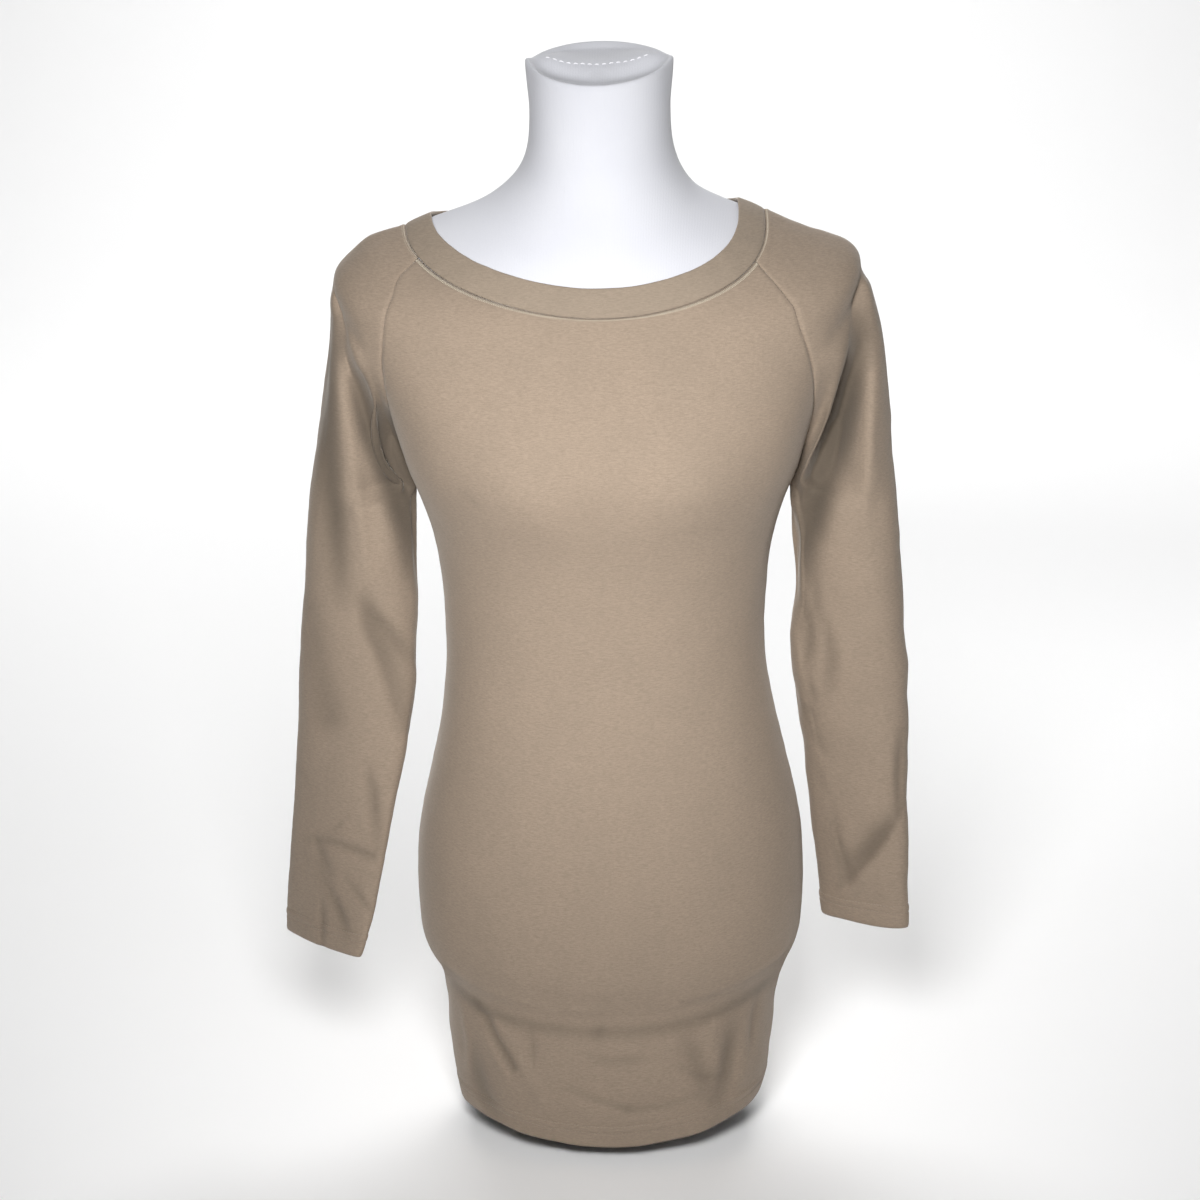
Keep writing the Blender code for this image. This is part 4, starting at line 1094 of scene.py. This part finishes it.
def tube_guides(sleeve, height):
    """Guide points of a row below the underarm, which closes at the underarm seam."""
    guides = tube_point(sleeve, height, np.array(GUIDE_ANGLES))
    armpit = side_point(sleeve.side, 0.0, UNDERARM) * (sleeve.side, 1, 1)
    pull = 1 - smooth_step((armpit[2] - height) / UNDERARM_REACH)
    for k in (0, len(guides) - 1):
        guides[k][1] *= 1 - pull
        guides[k][0] += (armpit[0] + UNDERARM_STEP - guides[k][0]) * pull
    return guides


def row_through(guides):
    """A row's points: on a smooth curve through guide points, and at each of them."""
    gaps = np.linalg.norm(np.diff(guides, axis=0), axis=1)
    h = np.maximum(gaps, 1e-5) ** 0.5
    n = len(guides)
    system = np.eye(n)
    right = np.zeros((n, 3))
    for i in range(1, n - 1):
        system[i, i - 1 : i + 2] = h[i - 1], 2 * (h[i - 1] + h[i]), h[i]
        after = (guides[i + 1] - guides[i]) / h[i]
        before = (guides[i] - guides[i - 1]) / h[i - 1]
        right[i] = 6 * (after - before)
    bend = np.linalg.solve(system, right)
    points = []
    for i, count in enumerate(GUIDE_COLUMNS):
        for part in range(count):
            b = part / count
            a = 1 - b
            bending = ((a**3 - a) * bend[i] + (b**3 - b) * bend[i + 1]) * h[i] ** 2 / 6
            points.append(a * guides[i] + b * guides[i + 1] + bending)
    return np.array([*points, guides[-1]])


def relaxed(points, rounds, closed_from):
    """A grid, smoothed a little. Its first and last rows and its open edges stay."""
    points = points.copy()
    for _ in range(rounds):
        new = points.copy()
        new[1:-1] = 0.5 * points[1:-1] + 0.25 * (points[:-2] + points[2:])
        mixed = new.copy()
        mixed[:, 1:-1] = 0.5 * new[:, 1:-1] + 0.25 * (new[:, :-2] + new[:, 2:])
        joint = 0.5 * new[closed_from:, 0] + 0.25 * (new[closed_from:, 1] + new[closed_from:, -2])
        mixed[closed_from:, 0] = mixed[closed_from:, -1] = joint
        mixed[:closed_from, 0] = points[:closed_from, 0]
        mixed[:closed_from, -1] = points[:closed_from, -1]
        mixed[0], mixed[-1] = points[0], points[-1]
        points = mixed
    return points


def make_sleeve(sleeve, seed):
    """A sleeve from the neckline to its hemmed cuff."""
    levels = even_levels(UNDERARM + CAP_START, NECK_SEAM - SEAM_SHORT, CAP_ROW_STEP, 0.0)[::-1]
    top = side_point(sleeve.side, 0.0, UNDERARM)[2]
    heights = np.concatenate(
        [
            np.arange(top, sleeve.cuff + CUFF_TOP + 0.001, -TUBE_ROW_STEP),
            np.linspace(sleeve.cuff + CUFF_TOP, sleeve.cuff, CUFF_ROWS),
        ]
    )
    rows = [row_through(cap_guides(sleeve, level)) for level in levels]
    rows += [row_through(tube_guides(sleeve, z)) for z in heights]
    points = relaxed(np.array(rows), RELAX_ROUNDS, len(levels)) * (sleeve.side, 1, 1)
    normals = grid_normals(points)
    tube = smooth_step((points[..., 2] - top) / -TUBE_SPREAD)
    # The creases move the cloth, and their depths give the shade painted into its colour.
    out, depth = pressed(points, normals, sleeve.creases)
    straight = out * smooth_step(np.abs(normals[..., 1]) * 1.6)
    out = out - straight
    before = points[..., 1]
    in_front = normals[..., 1] < 0
    stop = SLEEVE_MIDDLE + np.where(in_front, -WALL_ROOM, WALL_ROOM)
    after = before + straight * np.sign(normals[..., 1])
    after = np.where(
        in_front,
        np.minimum(after, np.maximum(before, stop)),
        np.maximum(after, np.minimum(before, stop)),
    )
    sunk = (after - before)[..., None] * (0, 1, 0)
    swell = SLEEVE_SWELL_HEIGHT + SWELL_HANGING * tube
    out += swell * unevenness(points, SLEEVE_SWELL_SIZE, seed)
    out += SLEEVE_RIPPLE_HEIGHT * unevenness(points, SLEEVE_RIPPLE_SIZE, seed + 1)
    edge = rolled(from_edges(points))
    edge[len(levels) :] *= TUBE_ROLL_SHARE
    out += edge + hemmed(along(points[::-1], 0)[::-1])
    out += rolled(along(points, 0)) + allowance(along(points, 0))
    points += normals * out[..., None] + sunk
    # The creases' fold depths also paint shade into the sleeve's colour.
    piece = lay_sheet(
        sleeve.name + "_cloth",
        points,
        jersey,
        np.arange(len(rows)) >= len(levels),
        CLOTH,
        sunk=depth,
    )
    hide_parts(sleeve.name)
    return points, len(levels)


right_points, right_cap_rows = make_sleeve(RIGHT_SLEEVE, 31)
left_points, left_cap_rows = make_sleeve(LEFT_SLEEVE, 47)


# The neckband: a strip of the same jersey, folded along its length and sewn on under
# tension. Both of its layers go down into the seam, and its fold is a soft round edge.
BAND_COLUMNS = 420
BAND_CLOTH = 0.0008
# The two layers lie this far out from and in from the middle of the band
LAYER_OFFSET = 0.00045
BAND_FOLD_STEPS = 5
BAND_ROWS = 20
# The front layer stands out in a soft crown, and is a little uneven
BAND_CROWN = 0.0007
CROWN_SPAN = 0.027
BAND_SWELL_SIZE = 0.020
BAND_SWELL_HEIGHT = 0.00025
BAND_LIFT = 0.0002
# Its last colour is the shade painted into folds.
band_jersey = dye_jersey(
    "band_jersey",
    (0.262, 0.210, 0.161),
    (0.212, 0.170, 0.128),
    (0.180, 0.148, 0.115),
    (0.062, 0.050, 0.037),
)
angles = np.linspace(-180, 180, BAND_COLUMNS + 1)
levels = np.linspace(NECK_SEAM + 0.010, NECK_EDGE - 0.02, BAND_ROWS)
points = np.array([body_point(angles, level) for level in levels])
normals = grid_normals(points, ring=True)
up = along(points, 0)
crown = BAND_CROWN * np.sin(np.pi * np.clip(up / CROWN_SPAN, 0, 1))
crown += BAND_SWELL_HEIGHT * unevenness(points, BAND_SWELL_SIZE, 5)
outer = points + normals * (LAYER_OFFSET + crown + rolled(up) + BAND_LIFT)[..., None]
inner = points - normals * LAYER_OFFSET
middle = (outer[-1] + inner[-1]) / 2
reach = (outer[-1] - inner[-1]) / 2
rise = points[-1] - points[-2]
rise *= np.linalg.norm(reach, axis=-1, keepdims=True) / np.linalg.norm(rise, axis=-1, keepdims=True)
fold = []
for step in range(1, BAND_FOLD_STEPS + 1):
    turn = math.pi * step / (BAND_FOLD_STEPS + 1)
    fold.append(middle + reach * math.cos(turn) + rise * math.sin(turn))
points = np.array([*outer, *fold, *inner[::-1]])
points[:, -1] = points[:, 0]
band = lay_sheet(
    "neckband_cloth", points, band_jersey, np.ones(len(points), bool), BAND_CLOTH
)
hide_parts("neckband")


# The sewing: a cream cover stitch along the garment side of the neck seam, and two rows of
# twin-needle stitch in matching thread round the hem and each cuff. Every stitch is a short
# length of thread.
def spin_thread(name, dark, light):
    """A soft thread's finish, from its dark and light shades."""
    thread, wire = new_finish(name)
    strands = speckle(wire, 0.0005)
    coat(
        thread,
        Base_Color=strands.between(dark, light),
        Roughness=0.75,
        Sheen_Weight=0.2,
        Normal=wire.add("Bump", None, {"Strength": 0.3, "Distance": 0.0001, "Height": strands}),
    )
    return thread


cream_thread = spin_thread("cream_thread", (0.32, 0.28, 0.21), (0.52, 0.46, 0.37))
matching_thread = spin_thread("matching_thread", (0.19, 0.155, 0.118), (0.29, 0.235, 0.18))
white_thread = spin_thread("white_thread", (0.70, 0.70, 0.73), (0.80, 0.80, 0.82))
# Rings of a stitch: place along it, share of its thread's radius, share of its bow
STITCH_RINGS = (
    (-0.5, 0.35, -0.8),
    (-0.32, 0.9, 0.4),
    (0.0, 1.0, 1.0),
    (0.32, 0.9, 0.4),
    (0.5, 0.35, -0.8),
)
STITCH_SIDES = 6
THREAD_RADIUS = 0.00020
HEM_PITCH = 0.0027
HEM_STITCH = 0.0021
# The cover stitch zigzags between two lines, by their distances from the neck seam
COVER_PITCH = 0.0007
COVER_LINES = (0.0010, 0.0038)


def edge_line(points, distance):
    """The points a distance in from a grid's first row, on its face, and the ways out."""
    normals = grid_normals(points)
    run = along(points, 0)
    columns = np.arange(points.shape[1])
    k = np.clip((run < distance).sum(axis=0) - 1, 0, len(points) - 2)
    share = (distance - run[k, columns]) / (run[k + 1, columns] - run[k, columns])
    line = points[k, columns] * (1 - share[:, None]) + points[k + 1, columns] * share[:, None]
    return line + normals[k, columns] * CLOTH / 2, normals[k, columns]


def spaced(line, out, pitch):
    """Places about a pitch apart along a line, and the ways out there."""
    run = along(line, 0)
    places = np.linspace(0, run[-1], max(2, round(run[-1] / pitch)) + 1)
    return [
        np.stack([np.interp(places, run, values[:, k]) for k in range(3)], -1)
        for values in (line, out)
    ]


def sew(name, stitches, finish, radius=THREAD_RADIUS):
    """Stitches as one piece, each from a start to an end, with its way out."""
    starts, ends, outs = (np.concatenate(part) for part in zip(*stitches))
    run = ends - starts
    side = np.cross(outs, run)
    side /= np.linalg.norm(side, axis=1, keepdims=True)
    verts = []
    for place, share, bow in STITCH_RINGS:
        middle = (starts + ends) / 2 + run * place + outs * radius * bow
        for k in range(STITCH_SIDES):
            turn = 2 * math.pi * k / STITCH_SIDES
            verts.append(middle + (side * math.cos(turn) + outs * math.sin(turn)) * radius * share)
    count = len(verts)
    verts = np.stack(verts, 1).reshape(-1, 3)
    faces = []
    for first in range(0, len(verts), count):
        for ring in range(len(STITCH_RINGS) - 1):
            low = first + ring * STITCH_SIDES
            for k in range(STITCH_SIDES):
                after = (k + 1) % STITCH_SIDES
                faces.append((low + k, low + STITCH_SIDES + k, low + STITCH_SIDES + after, low + after))
        faces.append(tuple(range(first, first + STITCH_SIDES)))
        faces.append(tuple(range(first + count - 1, first + count - 1 - STITCH_SIDES, -1)))
    mesh = bpy.data.meshes.new(name)
    mesh.from_pydata(verts.tolist(), [], faces)
    mesh.shade_smooth()
    mesh.materials.append(finish)
    piece = bpy.data.objects.new(name, mesh)
    bpy.context.scene.collection.objects.link(piece)
    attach(piece, "root")
    return piece


def straight_row(line, out, pitch, length):
    """A row of stitches of one length, a pitch apart."""
    places, ways = spaced(line, out, pitch)
    run = np.diff(places, axis=0)
    run *= length / np.linalg.norm(run, axis=1, keepdims=True)
    return places[:-1], places[:-1] + run, ways[:-1]


hems = {
    "body_hem_stitches": (front_points, back_points),
    "cuff_stitches_right": (right_points[::-1],),
    "cuff_stitches_left": (left_points[::-1],),
}
for name, grids in hems.items():
    rows = [
        straight_row(*edge_line(grid, distance), HEM_PITCH, HEM_STITCH)
        for grid in grids
        for distance in HEM_LINES
    ]
    sew(name, rows, matching_thread)
zigzag = []
for grid in (front_points[::-1], back_points[::-1], right_points, left_points):
    near, ways = spaced(*edge_line(grid, COVER_LINES[0]), COVER_PITCH)
    far_line, far_ways = edge_line(grid, COVER_LINES[1])
    far, _ = spaced(far_line, far_ways, along(far_line, 0)[-1] / (len(near) - 1))
    far = far[: len(near)]
    near, ways = near[: len(far)], ways[: len(far)]
    zigzag.append((near[0:-1:2], far[1::2], ways[0:-1:2]))
    zigzag.append((far[1:-1:2], near[2::2], ways[1:-1:2]))
sew("neck_cover_stitches", zigzag, cream_thread)

# The form's cover is closed by hand across the sunken top, with a white running stitch.
SEWN_HALF = 0.0400
SEWN_PITCH = 0.0056
SEWN_STITCH = 0.0038
SEWN_THREAD = 0.00045
SEWN_POINTS = 41
# The stitches lie this far in front of the ridge's top, on its slope
SEWN_AHEAD = 0.002
SLOPE_OUT = (0.0, -0.3, 0.95)
bpy.context.view_layer.update()
places = []
sewn_y = neck.mean(axis=0)[1] + SEWN_BACK - SEWN_AHEAD
for x in np.linspace(-SEWN_HALF, SEWN_HALF, SEWN_POINTS):
    hit = dress_form.ray_cast((x, sewn_y, 1.0), (0.0, 0.0, -1.0))
    places.append(hit[1])
line = np.array(places)
ways = np.tile(SLOPE_OUT, (len(line), 1))
sew(
    "neck_top_stitches",
    [straight_row(line, ways, SEWN_PITCH, SEWN_STITCH)],
    white_thread,
    SEWN_THREAD,
)

# The floor and backdrop: one pale sweep of paper. Soft light comes from large lamps, the
# main one in front, near the middle and above the form, and one hangs over the backdrop.
paper, wire = new_finish("studio_paper")
coat(paper, Base_Color=(0.92, 0.92, 0.92, 1.0), Roughness=0.9, Specular_IOR_Level=0.1)
SWEEP_HALF = 6.0
SWEEP_BACK = 3.0
SWEEP_CURVE = 1.5
SWEEP_HEIGHT = 5.0
CURVE_PARTS = 12
profile = [(-SWEEP_HALF, 0.0), (SWEEP_BACK, 0.0)]
for k in range(1, CURVE_PARTS + 1):
    turn = math.radians(90 * k / CURVE_PARTS)
    profile.append(
        (SWEEP_BACK + SWEEP_CURVE * math.sin(turn), SWEEP_CURVE * (1 - math.cos(turn)))
    )
profile.append((SWEEP_BACK + SWEEP_CURVE, SWEEP_HEIGHT))
verts = [(x, y, z) for y, z in profile for x in (-SWEEP_HALF, SWEEP_HALF)]
faces = [(2 * k, 2 * k + 1, 2 * k + 3, 2 * k + 2) for k in range(len(profile) - 1)]
mesh = bpy.data.meshes.new("studio_sweep")
mesh.from_pydata(verts, [], faces)
mesh.shade_smooth()
mesh.materials.append(paper)
sweep = bpy.data.objects.new("studio_sweep", mesh)
bpy.context.scene.collection.objects.link(sweep)

Lamp = namedtuple("Lamp", "name place aim size spread power")
LAMPS = (
    Lamp("key", (-0.08, -1.25, 0.95), (0.0, -0.1, 0.53), 0.32, 80.0, 5.6),
    Lamp("fill", (0.9, -1.5, 0.85), (0.0, 0.0, 0.62), 0.8, 180.0, 1.5),
    Lamp("back", (0.5, 1.3, 1.3), (0.0, 0.0, 0.5), 0.8, 180.0, 6.0),
    Lamp("backdrop", (0.0, 3.0, 3.2), (0.0, 2.8, 0.0), 3.2, 180.0, 130.0),
)
for lamp in LAMPS:
    light = bpy.data.lights.new(lamp.name, "AREA")
    light.size = lamp.size
    light.spread = math.radians(lamp.spread)
    light.energy = lamp.power
    holder = bpy.data.objects.new(lamp.name, light)
    holder.location = lamp.place
    holder.visible_camera = False
    holder.rotation_mode = "QUATERNION"
    aim = Vector(lamp.aim) - Vector(lamp.place)
    holder.rotation_quaternion = aim.to_track_quat("-Z", "Y")
    bpy.context.scene.collection.objects.link(holder)

# The room adds hardly any light of its own, but its far walls show pale
STUDIO_LIGHT = 0.05
STUDIO_WALLS = 0.80
world = bpy.data.worlds.new("studio")
world.use_nodes = True
room = Wire(world.node_tree)
walls = room.add("LightPath", out="Is Camera Ray")
backdrop = world.node_tree.nodes["Background"]
backdrop.inputs["Color"].default_value = (1.0, 1.0, 1.0, 1.0)
strength = walls * (STUDIO_WALLS - STUDIO_LIGHT) + STUDIO_LIGHT
world.node_tree.links.new(strength.socket, backdrop.inputs["Strength"])
bpy.context.scene.world = world
bpy.context.scene.view_settings.view_transform = "Standard"
